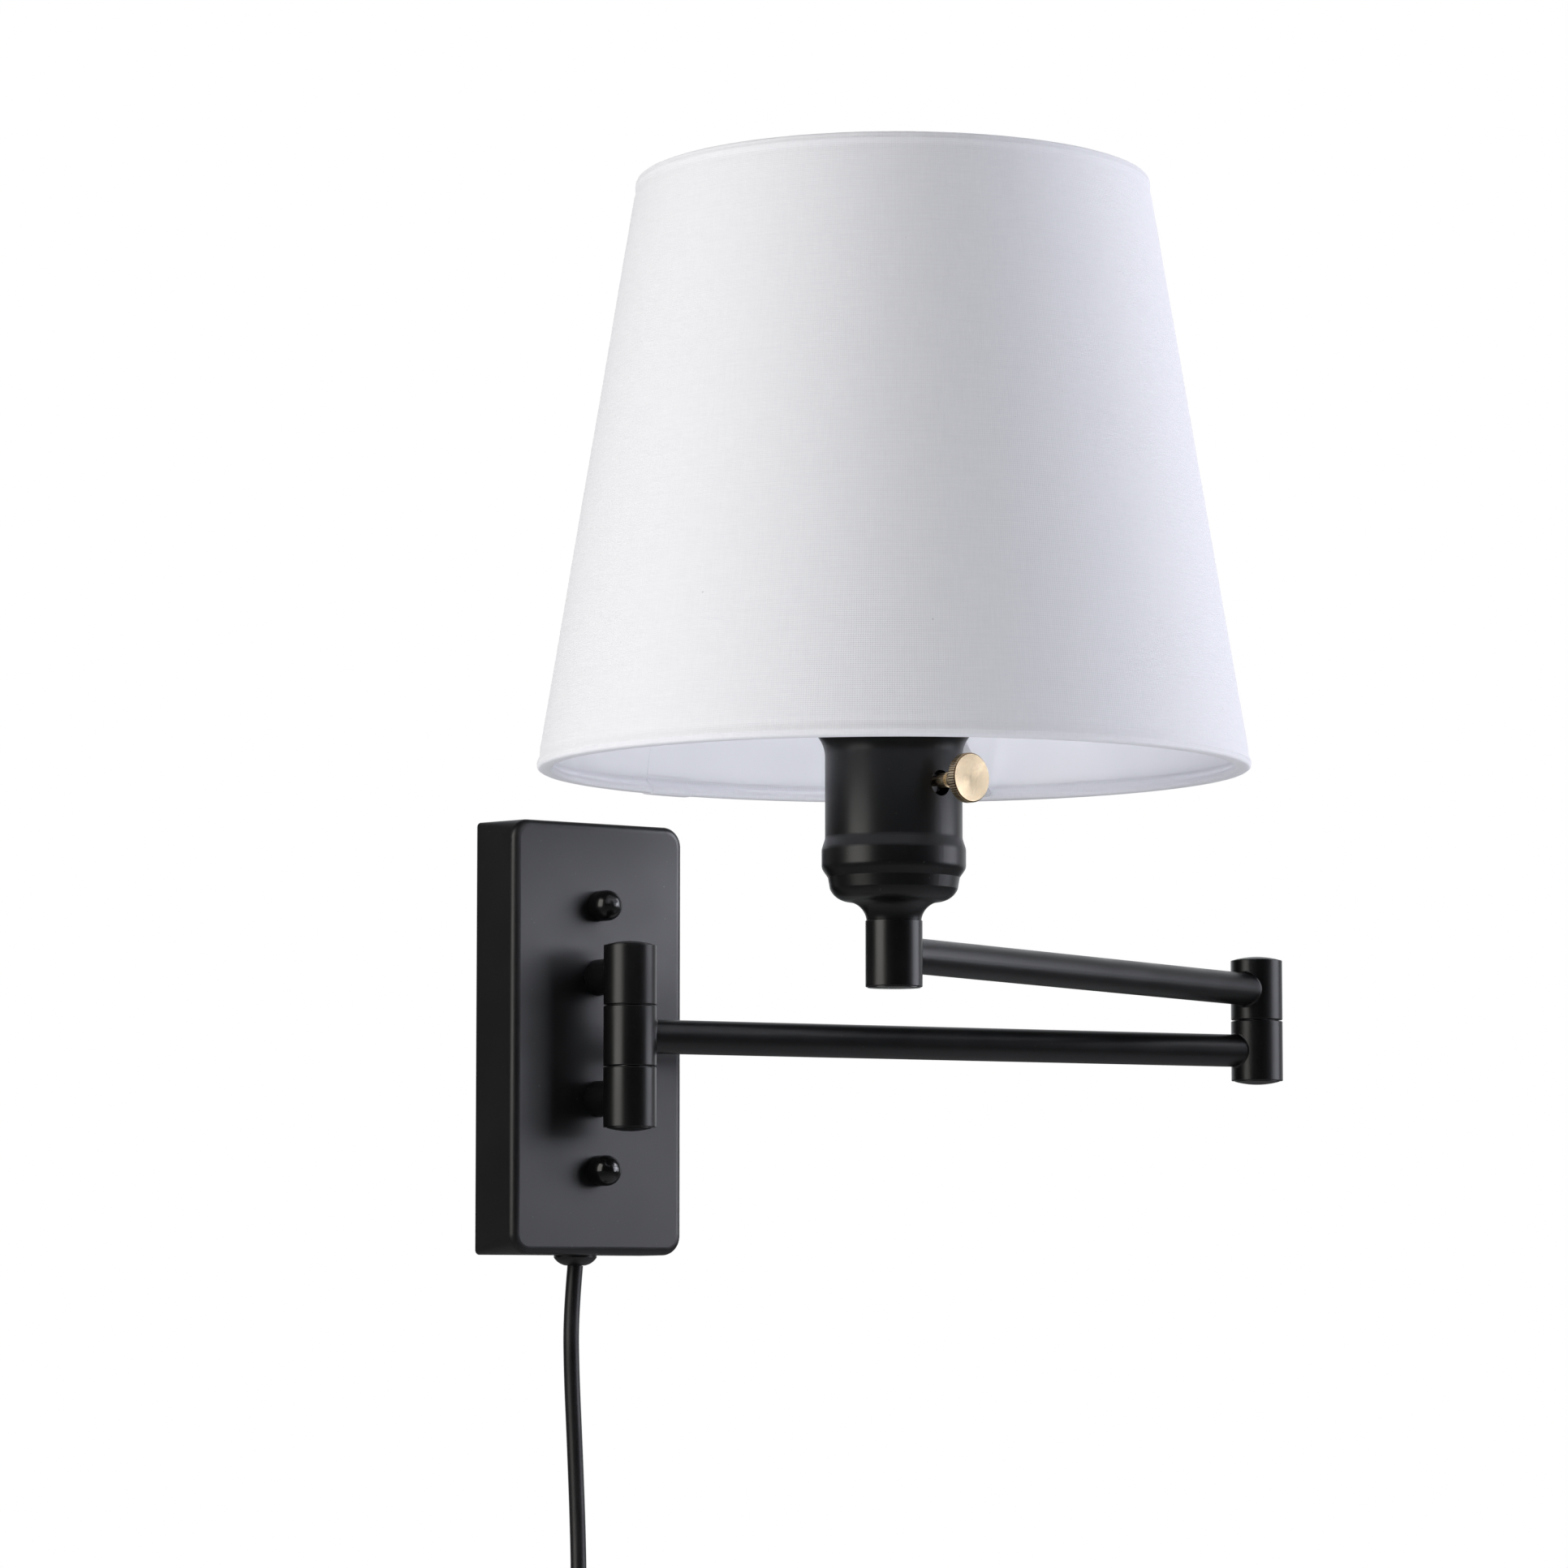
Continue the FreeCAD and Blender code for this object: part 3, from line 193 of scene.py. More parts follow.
def turned_metal(name, dark, light, rough_low, rough_high):
    """Bare turned or plated metal with fine level tool lines."""
    f = Finish(name)
    lines = f.grain(2200.0, 3.0, place=f.stretch(f.place, (0.0, 0.0, 1.0)))
    stain = f.grain(90.0, 4.0)
    colour = f.blend(f.between(stain, 0.3, 0.7), dark, light)
    roughness = f.between(stain, 0.3, 0.7, rough_low, rough_high)
    f.set(Metallic=1.0)
    return f.finish(colour, roughness, f.bump(lines, 0.25, 0.02 * MM))


# How far inside the knob's rim the ring of painted shade starts.
KNOB_SHADE_DEPTH = 0.42 * MM


def knob_brass():
    """Turned brass with lines that run out from the knob's middle, broad sectors of painted highlight, and a ring
    of painted shade in the knurl's grooves and at the face's edge that starts KNOB_SHADE_DEPTH inside the rim."""
    f = Finish("brass_knob")
    switch = next(j for j in frame["joints"] if j["name"] == "switch_turn")
    out = Vector(switch["axis"]).normalized()
    across = Vector((0, 0, 1)).cross(out).normalized()
    arm = f.vector("SUBTRACT", f.place, tuple(switch["pos_m"]))
    side = f.vector("DOT_PRODUCT", arm, tuple(across))
    up = f.vector("DOT_PRODUCT", arm, (0.0, 0.0, 1.0))
    turn = f.math("ARCTAN2", up, side)
    reach = f.math("SQRT", f.math("ADD", f.math("MULTIPLY", side, side), f.math("MULTIPLY", up, up)))
    spokes = f.add("ShaderNodeCombineXYZ")
    f.feed(spokes.inputs[0], f.math("MULTIPLY", turn, 14.0))
    f.feed(spokes.inputs[1], f.math("MULTIPLY", reach, 260.0))
    lines = f.grain(4.0, 5.0, 0.75, spokes.outputs[0])
    # Painted highlight: broad sectors of paler brass where the turned face catches the light.
    painted_highlight_mask = f.grain(1.1, 2.0, 0.5, spokes.outputs[0])
    shade = f.blend(f.between(lines, 0.36, 0.62), (0.70, 0.49, 0.24), (0.98, 0.85, 0.62))
    painted_highlight_tone = f.blend(f.between(painted_highlight_mask, 0.45, 0.75, 0.0, 0.35), shade, (1.0, 0.92, 0.74))
    # Painted shade: darker brass in the knurl's grooves and in a ring at the face's edge.
    inside = knob_radius - KNOB_SHADE_DEPTH
    shade_ring_inner = f.between(reach, inside - 0.05 * MM, inside)
    shade_ring_outer = f.between(reach, knob_radius, knob_radius - 0.2 * MM)
    painted_shade_ring = f.math("MULTIPLY", shade_ring_inner, shade_ring_outer)
    colour = f.blend(painted_shade_ring, painted_highlight_tone, (0.16, 0.085, 0.03))
    roughness = f.between(lines, 0.3, 0.7, 0.20, 0.32)
    tilt = f.bump(lines, 0.8, 0.12 * MM)
    f.set(Metallic=1.0, Anisotropic=0.55)
    tangent = f.vector("CROSS_PRODUCT", arm, tuple(out))
    f.feed(f.shader.inputs["Tangent"], f.vector("NORMALIZE", tangent))
    return f.finish(colour, roughness, tilt)


def moulded(name, dark, light, rough_low, rough_high, peel=0.15):
    """Moulded plastic or rubber: fine pores, a cloudy tone and slight flow marks."""
    f = Finish(name)
    cloud = f.grain(30.0, 3.0)
    colour = f.blend(f.between(cloud, 0.35, 0.65), dark, light)
    roughness = f.between(f.grain(120.0, 4.0), 0.3, 0.7, rough_low, rough_high)
    return f.finish(colour, roughness, f.bump(f.grain(1500.0, 3.0), peel, 0.04 * MM))


def lead_sheath():
    """Black flexible sheath with faint drawing lines along it."""
    f = Finish("lead_sheath")
    lines = f.grain(1.0, 3.0, place=f.stretch(f.place, (900.0, 900.0, 25.0)))
    cloud = f.between(f.grain(40.0), 0.35, 0.65)
    colour = f.blend(cloud, (0.009, 0.009, 0.010), (0.016, 0.016, 0.018))
    roughness = f.between(lines, 0.3, 0.7, 0.36, 0.50)
    return f.finish(colour, roughness, f.bump(lines, 0.15, 0.05 * MM))


def weave_height(f, thread):
    """Height of a plain weave of that thread pitch, from flat coordinates in metres."""
    parts = f.add("ShaderNodeSeparateXYZ")
    f.feed(parts.inputs[0], f.flat)
    turns = math.pi / thread
    wander = f.math("MULTIPLY", f.math("SUBTRACT", f.grain(160.0, 2.0, place=f.flat), 0.5), thread * 1.2)
    across = f.math("MULTIPLY", f.math("ADD", parts.outputs[0], wander), turns)
    along = f.math("MULTIPLY", f.math("ADD", parts.outputs[1], wander), turns)
    warp = f.math("MULTIPLY", f.math("ABSOLUTE", f.math("SINE", across)), f.math("COSINE", along))
    weft = f.math("MULTIPLY", f.math("ABSOLUTE", f.math("SINE", along)), f.math("COSINE", across))
    return f.math("SUBTRACT", warp, weft)


def shade_cloth():
    """Plain weave with uneven threads: thick stretches of thread show as short slubs."""
    f = Finish("shade_cloth")
    slub_across = f.grain(1.0, 3.0, 0.6, f.stretch(f.flat, (70.0, 1500.0, 1.0)))
    slub_along = f.grain(1.0, 3.0, 0.6, f.stretch(f.flat, (1700.0, 90.0, 1.0)))
    slub = f.math("ADD", slub_across, slub_along)
    tone = f.blend(f.between(slub, 0.80, 1.22), (0.875, 0.878, 0.905), (0.905, 0.908, 0.93))
    fleck = f.between(f.grain(420.0, 1.0, place=f.flat), 0.80, 0.84, 0.0, 0.5)
    colour = f.blend(fleck, tone, (0.42, 0.40, 0.38))
    weave = f.bump(weave_height(f, 0.36 * MM), 0.34, 0.10 * MM)
    thread = f.bump(slub, 0.22, 0.10 * MM, weave)
    f.set(Sheen_Weight=0.15, Sheen_Roughness=0.5, Specular_IOR_Level=0.25)
    return f.finish(colour, f.between(slub, 0.8, 1.2, 0.78, 0.92), thread)


def styrene():
    """White sheet that stiffens the shade, smooth with a faint mottling."""
    f = Finish("styrene")
    cloud = f.between(f.grain(14.0, 3.0), 0.35, 0.65)
    colour = f.blend(cloud, (0.84, 0.845, 0.87), (0.89, 0.893, 0.91))
    roughness = f.between(f.grain(60.0, 3.0), 0.3, 0.7, 0.42, 0.56)
    return f.finish(colour, roughness, f.bump(f.grain(260.0, 2.0), 0.06, 0.1 * MM))


def white_enamel():
    """Thin white paint on wire, a little uneven."""
    f = Finish("white_enamel")
    cloud = f.between(f.grain(70.0, 3.0), 0.35, 0.65)
    colour = f.blend(cloud, (0.78, 0.785, 0.80), (0.86, 0.865, 0.875))
    roughness = f.between(f.grain(200.0, 3.0), 0.3, 0.7, 0.28, 0.40)
    return f.finish(colour, roughness, f.bump(f.grain(900.0, 2.0), 0.12, 0.04 * MM))


def tape():
    """Black hook and loop tape: a fuzzy pile of short threads."""
    f = Finish("tie_tape")
    pile = f.grain(1600.0, 4.0, 0.7)
    colour = f.blend(f.between(pile, 0.35, 0.65), (0.008, 0.008, 0.009), (0.035, 0.035, 0.04))
    f.set(Sheen_Weight=0.4, Sheen_Roughness=0.5)
    return f.finish(colour, f.between(pile, 0.3, 0.7, 0.75, 0.95), f.bump(pile, 0.6, 0.2 * MM))


ANTHRACITE = (0.0035, 0.0035, 0.0038), (0.0055, 0.0055, 0.006)
JET = (0.004, 0.004, 0.004), (0.007, 0.007, 0.007)
# Painted lit and shaded copies of the black coat's tones: lighter for the plate, darker for the cup.
LIT_BLACK_TONES = (0.005, 0.005, 0.006), (0.0075, 0.0075, 0.009)
SHADED_BLACK_TONES = (0.003, 0.003, 0.0033), (0.0048, 0.0048, 0.0053)

finishes = {
    "black_metal": powder_coat("black_coat", *ANTHRACITE, 0.30, 0.37),
    "cap_nut_black": powder_coat("cap_nut_coat", *JET, 0.16, 0.26),
    "zinc_steel": turned_metal("zinc", (0.42, 0.43, 0.44), (0.62, 0.63, 0.64), 0.28, 0.42),
    "green_screw": turned_metal("green_steel", (0.02, 0.18, 0.05), (0.04, 0.30, 0.10), 0.35, 0.5),
    "nylon": moulded("nylon", (0.012, 0.012, 0.013), (0.018, 0.018, 0.019), 0.35, 0.5),
    "black_rubber": lead_sheath(),
    "black_plastic": moulded("black_plastic", (0.010, 0.010, 0.011), (0.018, 0.018, 0.020), 0.32, 0.46),
    "tie_fabric": tape(),
    "brass_contact": turned_metal("brass", (0.62, 0.42, 0.17), (0.80, 0.60, 0.28), 0.25, 0.40),
    "brass_knob": knob_brass(),
    "phenolic": moulded("phenolic", (0.012, 0.011, 0.011), (0.020, 0.018, 0.018), 0.22, 0.34, 0.08),
    "wire_blue": moulded("wire_sheath", (0.012, 0.012, 0.012), (0.02, 0.02, 0.02), 0.35, 0.5),
    "white_wire": white_enamel(),
    "shade_liner": styrene(),
    "shade_fabric": shade_cloth(),
    "blade_metal": turned_metal("nickel", (0.58, 0.56, 0.51), (0.74, 0.72, 0.68), 0.22, 0.36),
}
for subpart in frame["record"]["subparts"]:
    for socket in nodes[subpart["node"]].material_slots:
        socket.material = finishes[subpart["material_slot"]]

# Three black parts catch the light differently from the rest. The plate wears a painted lit copy of the black
# coat, a little lighter and bluer. The cup wears a painted shaded copy, a little darker and less glossy. The
# post's cap wears the glossier cap nut coat.
black_parts = {
    "backplate": powder_coat("plate_coat", *LIT_BLACK_TONES, 0.38, 0.44),
    "socket_cup": powder_coat("cup_coat", *SHADED_BLACK_TONES, 0.31, 0.38, 0.42),
    "post_cap": finishes["cap_nut_black"],
}
for name, coat in black_parts.items():
    nodes[name].material_slots[0].material = coat


# ---- mesh helpers ------------------------------------------------------------

def new_piece(name, points, faces, body, slot, smooth=True):
    """A mesh piece that rides on a body and wears that slot's finish."""
    mesh = bpy.data.meshes.new(name)
    mesh.from_pydata(points, [], faces)
    mesh.materials.append(finishes[slot])
    mesh.polygons.foreach_set("use_smooth", [smooth] * len(mesh.polygons))
    mesh.update()
    piece = bpy.data.objects.new(name, mesh)
    bpy.context.scene.collection.objects.link(piece)
    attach(piece, body)
    return piece


def grid_faces(rows, columns, wrap_rows, wrap_columns):
    """Quads over rows x columns points in row order, closed either way on request."""
    faces = []
    for i in range(rows if wrap_rows else rows - 1):
        for j in range(columns if wrap_columns else columns - 1):
            k, n = (i + 1) % rows, (j + 1) % columns
            faces.append((i * columns + j, i * columns + n, k * columns + n, k * columns + j))
    return faces


def smooth_step(value, start, end):
    share = min(1.0, max(0.0, (value - start) / (end - start)))
    return share * share * (3 - 2 * share)


# ---- shade cloth -------------------------------------------------------------
# The cloth lies on the liner, goes round the wire hoop at each rim and is glued
# down inside as a narrow hem. The seam faces the wall.

CLOTH = 0.45 * MM
LINER_DEPTH = 2.0 * MM
SEAM_START, SEAM_END = math.radians(90.9), math.radians(100.0)
SEAM_EDGE = 0.006
SEAM_LIFT = 0.4 * MM
RIM_GAP, RIM_TRIM = 0.55 * MM, 0.1 * MM
RIM_ROUND = 12
RIM_SQUARE = 0.5
HEM = 3.3 * MM
# Shares of the hem's height, and how far the cloth has come to the liner there.
HEM_STEPS = ((0.3, 0.3), (0.55, 0.7), (0.75, 0.93), (0.9, 1.0), (1.0, 1.0))
RIM_ROWS = RIM_ROUND + 1 + len(HEM_STEPS)
FACE_ROWS = 72
COLUMNS, SEAM_STEP = 288, 0.12
# In millimetres: beside each rim the cloth swells a little, and dips where it leaves the hoop.
SWELL, SWELL_WIDTH = 0.3, 1.2
DIP, DIP_PLACE, DIP_WIDTH = 0.4, 2.6, 0.85
UNEVEN, UNEVEN_FINE, UNEVEN_RIM = 0.10 * MM, 0.035 * MM, 0.16 * MM


def cone_radius(height):
    """Radius of the shade's outer face at a height."""
    return foot_radius - shade_slope * (height - shade_low)


def rim_profile(top):
    """(radius, height) points of the cloth's outer face round one rim, from the
    outer face to the end of the hem inside. Heights run away from the rim."""
    wire = hoop_high if top else hoop_low
    radius = hoop_radius - shade_slope * (wire.z - hoop_low.z)
    sign = -1.0 if top else 1.0
    inner = hoop_wire + RIM_GAP
    outer = foot_radius - hoop_radius - RIM_TRIM
    points = []
    for step in range(RIM_ROUND + 1):
        angle = math.pi * step / RIM_ROUND
        reach = outer if angle < math.pi / 2 else inner
        across, drop = math.cos(angle), math.sin(angle)
        points.append((radius + reach * math.copysign(abs(across) ** RIM_SQUARE, across),
                       wire.z - sign * inner * drop ** RIM_SQUARE))
    start = radius - inner
    for share, stand in HEM_STEPS:
        height = wire.z + sign * share * HEM
        inside = cone_radius(height) - LINER_DEPTH
        points.append((start + (inside - start) * stand, height))
    return points


def shade_profile():
    """The cloth's outer face from the hem inside the foot to the hem inside the top."""
    low, high = rim_profile(False), rim_profile(True)
    points = low[::-1]
    start, end = low[0][1], high[0][1]
    for step in range(1, FACE_ROWS):
        share = 0.5 - 0.5 * math.cos(math.pi * step / FACE_ROWS)
        height = start + (end - start) * share
        from_rim = min(height - start, end - height) / MM
        dip = DIP * math.exp(-((from_rim - DIP_PLACE) / DIP_WIDTH) ** 2)
        swell = SWELL * math.exp(-(from_rim / SWELL_WIDTH) ** 2)
        points.append((cone_radius(height) + (swell - dip) * MM, height))
    return points + high


def seam_angles():
    """Even steps round the shade, with finer ones where the seam's edges are."""
    angles = [math.tau * step / COLUMNS for step in range(COLUMNS)]
    for edge in (SEAM_START, SEAM_END):
        angles += [edge + math.radians(step * SEAM_STEP) for step in range(-5, 6)]
    return sorted(angles)


def cloth_point(plain, lifted, angle, rim):
    """A point of the cloth, lifted at the seam, with the unevenness of hand-laid cloth."""
    on_seam = smooth_step(angle, SEAM_START, SEAM_START + SEAM_EDGE)
    on_seam *= smooth_step(-angle, -SEAM_END - SEAM_EDGE, -SEAM_END)
    radius = plain[0] + (lifted[0] - plain[0]) * on_seam
    height = plain[1] + (lifted[1] - plain[1]) * on_seam
    spot = Vector((math.cos(angle) * 2.2, math.sin(angle) * 2.2, height * 16))
    uneven = noise.noise(spot) * UNEVEN + noise.noise(spot * 4.1) * UNEVEN_FINE
    if rim:
        uneven += noise.noise(Vector((math.cos(angle) * 9, math.sin(angle) * 9, 3.3))) * UNEVEN_RIM
    out = radius + uneven
    return (shade_axis.x + out * math.cos(angle), shade_axis.y + out * math.sin(angle), height)


def move_profile(points, depth):
    """The same line moved in by depth, or out by a negative one, square to its own direction."""
    moved = []
    for index, (radius, height) in enumerate(points):
        before, after = points[max(index - 1, 0)], points[min(index + 1, len(points) - 1)]
        along = Vector((after[0] - before[0], after[1] - before[1])).normalized()
        moved.append((radius - along.y * depth, height + along.x * depth))
    return moved


def make_shade_cloth():
    """The closed skin of the cloth, and the line of its outer face."""
    outer = shade_profile()
    inner = move_profile(outer, CLOTH)[::-1]
    profile = outer + inner
    lifted = move_profile(outer, -SEAM_LIFT) + inner
    angles = seam_angles()
    points = []
    for index, (plain, raised) in enumerate(zip(profile, lifted)):
        place = min(index, len(profile) - 1 - index)
        rim = place < RIM_ROWS or place >= len(outer) - RIM_ROWS
        points += [cloth_point(plain, raised, angle, rim) for angle in angles]
    faces = grid_faces(len(profile), len(angles), True, True)
    cloth = new_piece("shade_cloth", points, faces, "upper_arm", "shade_fabric")
    lay_flat(cloth, profile, angles)
    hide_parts("shade_fabric")
    return cloth, outer


def lay_flat(cloth, profile, angles):
    """Flat coordinates in metres: along the mean circumference, and along the profile."""
    mean_radius = cone_radius((shade_low + shade_high) / 2)
    lengths = [0.0]
    for before, after in zip(profile, profile[1:]):
        lengths.append(lengths[-1] + math.dist(before, after))
    lengths.append(lengths[-1] + math.dist(profile[-1], profile[0]))
    layer = cloth.data.uv_layers.new(name="flat")
    columns = len(angles)
    for face in cloth.data.polygons:
        row, column = divmod(face.index, columns)
        near = angles[column]
        far = angles[column + 1] if column + 1 < columns else math.tau
        corners = ((near, row), (far, row), (far, row + 1), (near, row + 1))
        for loop, (angle, line) in zip(face.loop_indices, corners):
            layer.data[loop].uv = (angle * mean_radius, lengths[line])


def make_liner_seam():
    """Where the liner's two ends overlap, inside the seam of the cloth."""
    low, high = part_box("shade_liner")
    rows, columns, thick = 24, 14, 0.2 * MM
    short, depth = 5.5 * MM, 1.35 * MM
    points = []
    for face in (0, 1):
        for i in range(rows + 1):
            height = low.z + short + (high.z - low.z - 2 * short) * i / rows
            for j in range(columns + 1):
                angle = SEAM_START + (SEAM_END - SEAM_START) * j / columns
                radius = cone_radius(height) - depth - thick * face
                points.append((shade_axis.x + radius * math.cos(angle),
                               shade_axis.y + radius * math.sin(angle), height))
    sheet = grid_faces(rows + 1, columns + 1, False, False)
    count = (rows + 1) * (columns + 1)
    faces = sheet + [tuple(k + count for k in reversed(face)) for face in sheet]
    edge = list(range(columns + 1))
    edge += [i * (columns + 1) + columns for i in range(1, rows + 1)]
    edge += [rows * (columns + 1) + j for j in range(columns - 1, -1, -1)]
    edge += [i * (columns + 1) for i in range(rows - 1, 0, -1)]
    for here, after in zip(edge, edge[1:] + edge[:1]):
        faces.append((after, here, here + count, after + count))
    return new_piece("liner_seam", points, faces, "upper_arm", "shade_liner", smooth=False)


shade, shade_line = make_shade_cloth()
liner_seam = make_liner_seam()


# ---- lead with its plug --------------------------------------------------------
# It hangs from the bushing in a slack wave. The length that isn't shown is a
# coil under the light, tied, with the plug hanging from its last turn.

CORD_DIAMETER = 5.9 * MM
CORD_ROUTE = [
    (0.0, -0.0097, -0.0838), (-0.0022, -0.0102, -0.102), (-0.0028, -0.0116, -0.123),
    (-0.0025, -0.0134, -0.149), (-0.0029, -0.0162, -0.179), (-0.0048, -0.020, -0.204),
    (-0.0102, -0.0246, -0.2245), (-0.021, -0.0286, -0.2386),
]
COIL_STEPS = 16
COIL_START, COIL_FIRST_DEPTH = math.radians(146.0), -0.029
OUTER_TURNS, INNER_TURNS = 3.9, 4.194


def coil_points():
    """Outer layer from front to back, then the inner layer from back to front."""
    centre = middle("cord_coil")
    low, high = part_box("cord_coil")
    outer_radius = (high.z - low.z) / 2 - 0.5 * CORD_DIAMETER
    back, front = high.y - 0.5 * CORD_DIAMETER, low.y + 0.5 * CORD_DIAMETER
    turns = OUTER_TURNS + INNER_TURNS
    steps = round(turns * COIL_STEPS)
    points = []
    for step in range(steps + 1):
        done = turns * step / steps
        radius = outer_radius - CORD_DIAMETER * smooth_step(done, OUTER_TURNS - 0.3, OUTER_TURNS + 0.15)
        if done < OUTER_TURNS:
            depth = COIL_FIRST_DEPTH + (back - COIL_FIRST_DEPTH) * done / OUTER_TURNS
        else:
            depth = back + (front - back) * (done - OUTER_TURNS) / INNER_TURNS
        angle = COIL_START + math.tau * done
        points.append((centre.x + radius * math.cos(angle), depth, centre.z + radius * math.sin(angle)))
    return points


def make_cord():
    relief, relief_top = middle("plug_relief"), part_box("plug_relief")[1].z
    points = CORD_ROUTE + coil_points()
    points += [(relief.x, relief.y, relief_top + rise) for rise in (0.016, 0.008, 0.0)]
    curve = bpy.data.curves.new("lead", "CURVE")
    curve.dimensions = "3D"
    curve.bevel_depth = CORD_DIAMETER / 2
    curve.bevel_resolution = 8
    curve.use_fill_caps = True
    curve.resolution_u = 10
    spline = curve.splines.new("NURBS")
    spline.points.add(len(points) - 1)
    for knot, point in zip(spline.points, points):
        knot.co = (*point, 1.0)
    spline.order_u = 3
    spline.use_endpoint_u = True
    curve.materials.append(finishes["black_rubber"])
    lead = bpy.data.objects.new("lead", curve)
    bpy.context.scene.collection.objects.link(lead)
    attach(lead, "wall_unit")
    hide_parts("cord_lead", "cord_coil")
    return lead


def ring(centre_x, centre_y, height, half_x, half_y, power, count=48):
    """Points of a rounded rectangle: power 2 is an ellipse, and more is squarer."""
    points = []
    for step in range(count):
        angle = math.tau * step / count
        c, s = math.cos(angle), math.sin(angle)
        points.append((centre_x + half_x * math.copysign(abs(c) ** (2 / power), c),
                       centre_y + half_y * math.copysign(abs(s) ** (2 / power), s), height))
    return points


def lofted(name, rings, body, slot):
    """A closed skin over rings of points, from the top ring to the bottom one."""
    count = len(rings[0])
    points = [point for line in rings for point in line]
    faces = [tuple(reversed(f)) for f in grid_faces(len(rings), count, False, True)]
    faces.append(tuple(range(count)))
    faces.append(tuple(range(len(points) - 1, len(points) - 1 - count, -1)))
    return new_piece(name, points, faces, body, slot)


def make_relief():
    """Tapered strain relief with flexible ribs."""
    low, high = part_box("plug_relief")
    centre = middle("plug_relief")
    top, bottom = 3.7 * MM, half_width("plug_relief")
    ribs, rib_steps, groove_depth = 7, 8, 0.75 * MM
    rings = []
    for step in range(ribs * rib_steps + 1):
        share = step / (ribs * rib_steps)
        painted_shade_ring = smooth_step(math.sin(math.tau * ribs * share - 0.6), 0.35, 0.75)
        painted_shade_ring *= smooth_step(share, 0.04, 0.10) * smooth_step(-share, -0.97, -0.90)
        radius = top + (bottom - top) * share - painted_shade_ring * groove_depth
        rings.append(ring(centre.x, centre.y, high.z - (high.z - low.z) * share, radius, radius, 2.0))
    piece = lofted("strain_relief", rings, "wall_unit", "black_rubber")
    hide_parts("plug_relief")
    return piece


def make_plug():
    """Moulded plug: a neck that swells to a flat body with finger ribs on its sides."""
    low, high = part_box("plug_body")
    centre = middle("plug_body")
    wide, deep = (high.x - low.x) / 2, (high.y - low.y) / 2
    neck_x, neck_y = 6.4 * MM, 5.4 * MM
    length = high.z - low.z
    rings, steps = [], 60
    for step in range(steps + 1):
        share = step / steps
        swell = smooth_step(share, 0.0, 0.42)
        waist = 0.9 * MM * math.sin(math.pi * smooth_step(share, 0.4, 0.85))
        grip = 0.35 * MM * max(0.0, math.sin(math.tau * share * 15)) * (0.42 < share < 0.82)
        top_round = (1 - smooth_step(share, 0.0, 0.05)) * 0.8 * MM
        end = smooth_step(share, 0.93, 1.0) * 1.1 * MM + top_round
        half_x = neck_x + (wide - neck_x) * swell - waist - grip - end
        half_y = neck_y + (deep - neck_y) * swell - waist * 0.4 - end
        height = high.z - length * share
        rings.append(ring(centre.x, centre.y, height, half_x, half_y, 2.2 + 2.2 * swell))
    piece = lofted("plug", rings, "wall_unit", "black_plastic")
    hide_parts("plug_body")
    return piece


lead = make_cord()
relief, plug = make_relief(), make_plug()


# ---- floor, light and camera ---------------------------------------------------

CAMERA_YAW, CAMERA_PITCH = math.radians(36.27), math.radians(5.31)
CAMERA_DISTANCE = 2.1
CAMERA_LENS = 130.0
AIM = Vector((0.0518, -0.0701, 0.0940))
FLOOR_DROP = 0.55
FLOOR_REACH = 7.0
FLOOR_SHINE = (0.52, 0.525, 0.53, 1.0)
# The surround's light starts and is full at these shares of straight ahead.
SKY_START, SKY_FULL = 0.45, 0.98
SKY_NEAR, SKY_FAR = 0.02, 1.0
GLOW_POWER, GLOW_HEIGHT, GLOW_SIZE = 0.28, 0.6, 0.05
COOL, WARM, PALE = (0.93, 0.94, 1.04), (1.02, 1.0, 0.95), (0.96, 0.965, 1.03)

white_parts = [shade, liner_seam] + [
    nodes[name] for name in ("shade_liner", "shade_ring_low", "shade_ring_high", "fitter_ring",
                             "spider_arm_1", "spider_arm_2", "spider_arm_3")]

facing = Vector((math.sin(CAMERA_YAW) * math.cos(CAMERA_PITCH),
                 math.cos(CAMERA_YAW) * math.cos(CAMERA_PITCH), math.sin(CAMERA_PITCH)))


def make_camera():
    data = bpy.data.cameras.new("camera")
    data.lens = CAMERA_LENS
    data.clip_end = 50.0
    camera = bpy.data.objects.new("camera", data)
    camera.location = AIM - facing * CAMERA_DISTANCE
    camera.rotation_euler = facing.to_track_quat("-Z", "Y").to_euler()
    bpy.context.scene.collection.objects.link(camera)
    bpy.context.scene.camera = camera


def make_floor():
    """A pale floor. Seen directly it has a shine of its own, which lights nothing."""
    f = Finish("floor")
    cloud = f.between(f.grain(3.0), 0.3, 0.7)
    f.finish(f.blend(cloud, (0.86, 0.86, 0.86), (0.89, 0.89, 0.89)), 0.8)
    f.set(Emission_Color=FLOOR_SHINE)
    seen = f.add("ShaderNodeLightPath").outputs["Is Camera Ray"]
    f.feed(f.shader.inputs["Emission Strength"], seen)
    f.material.cycles.emission_sampling = "NONE"
    height = cad_box[0].z - FLOOR_DROP
    signs = ((-1, -1), (1, -1), (1, 1), (-1, 1))
    corners = [(FLOOR_REACH * x, FLOOR_REACH * y, height) for x, y in signs]
    mesh = bpy.data.meshes.new("floor")
    mesh.from_pydata(corners, [], [(0, 1, 2, 3)])
    mesh.materials.append(f.material)
    floor = bpy.data.objects.new("floor", mesh)
    bpy.context.scene.collection.objects.link(floor)


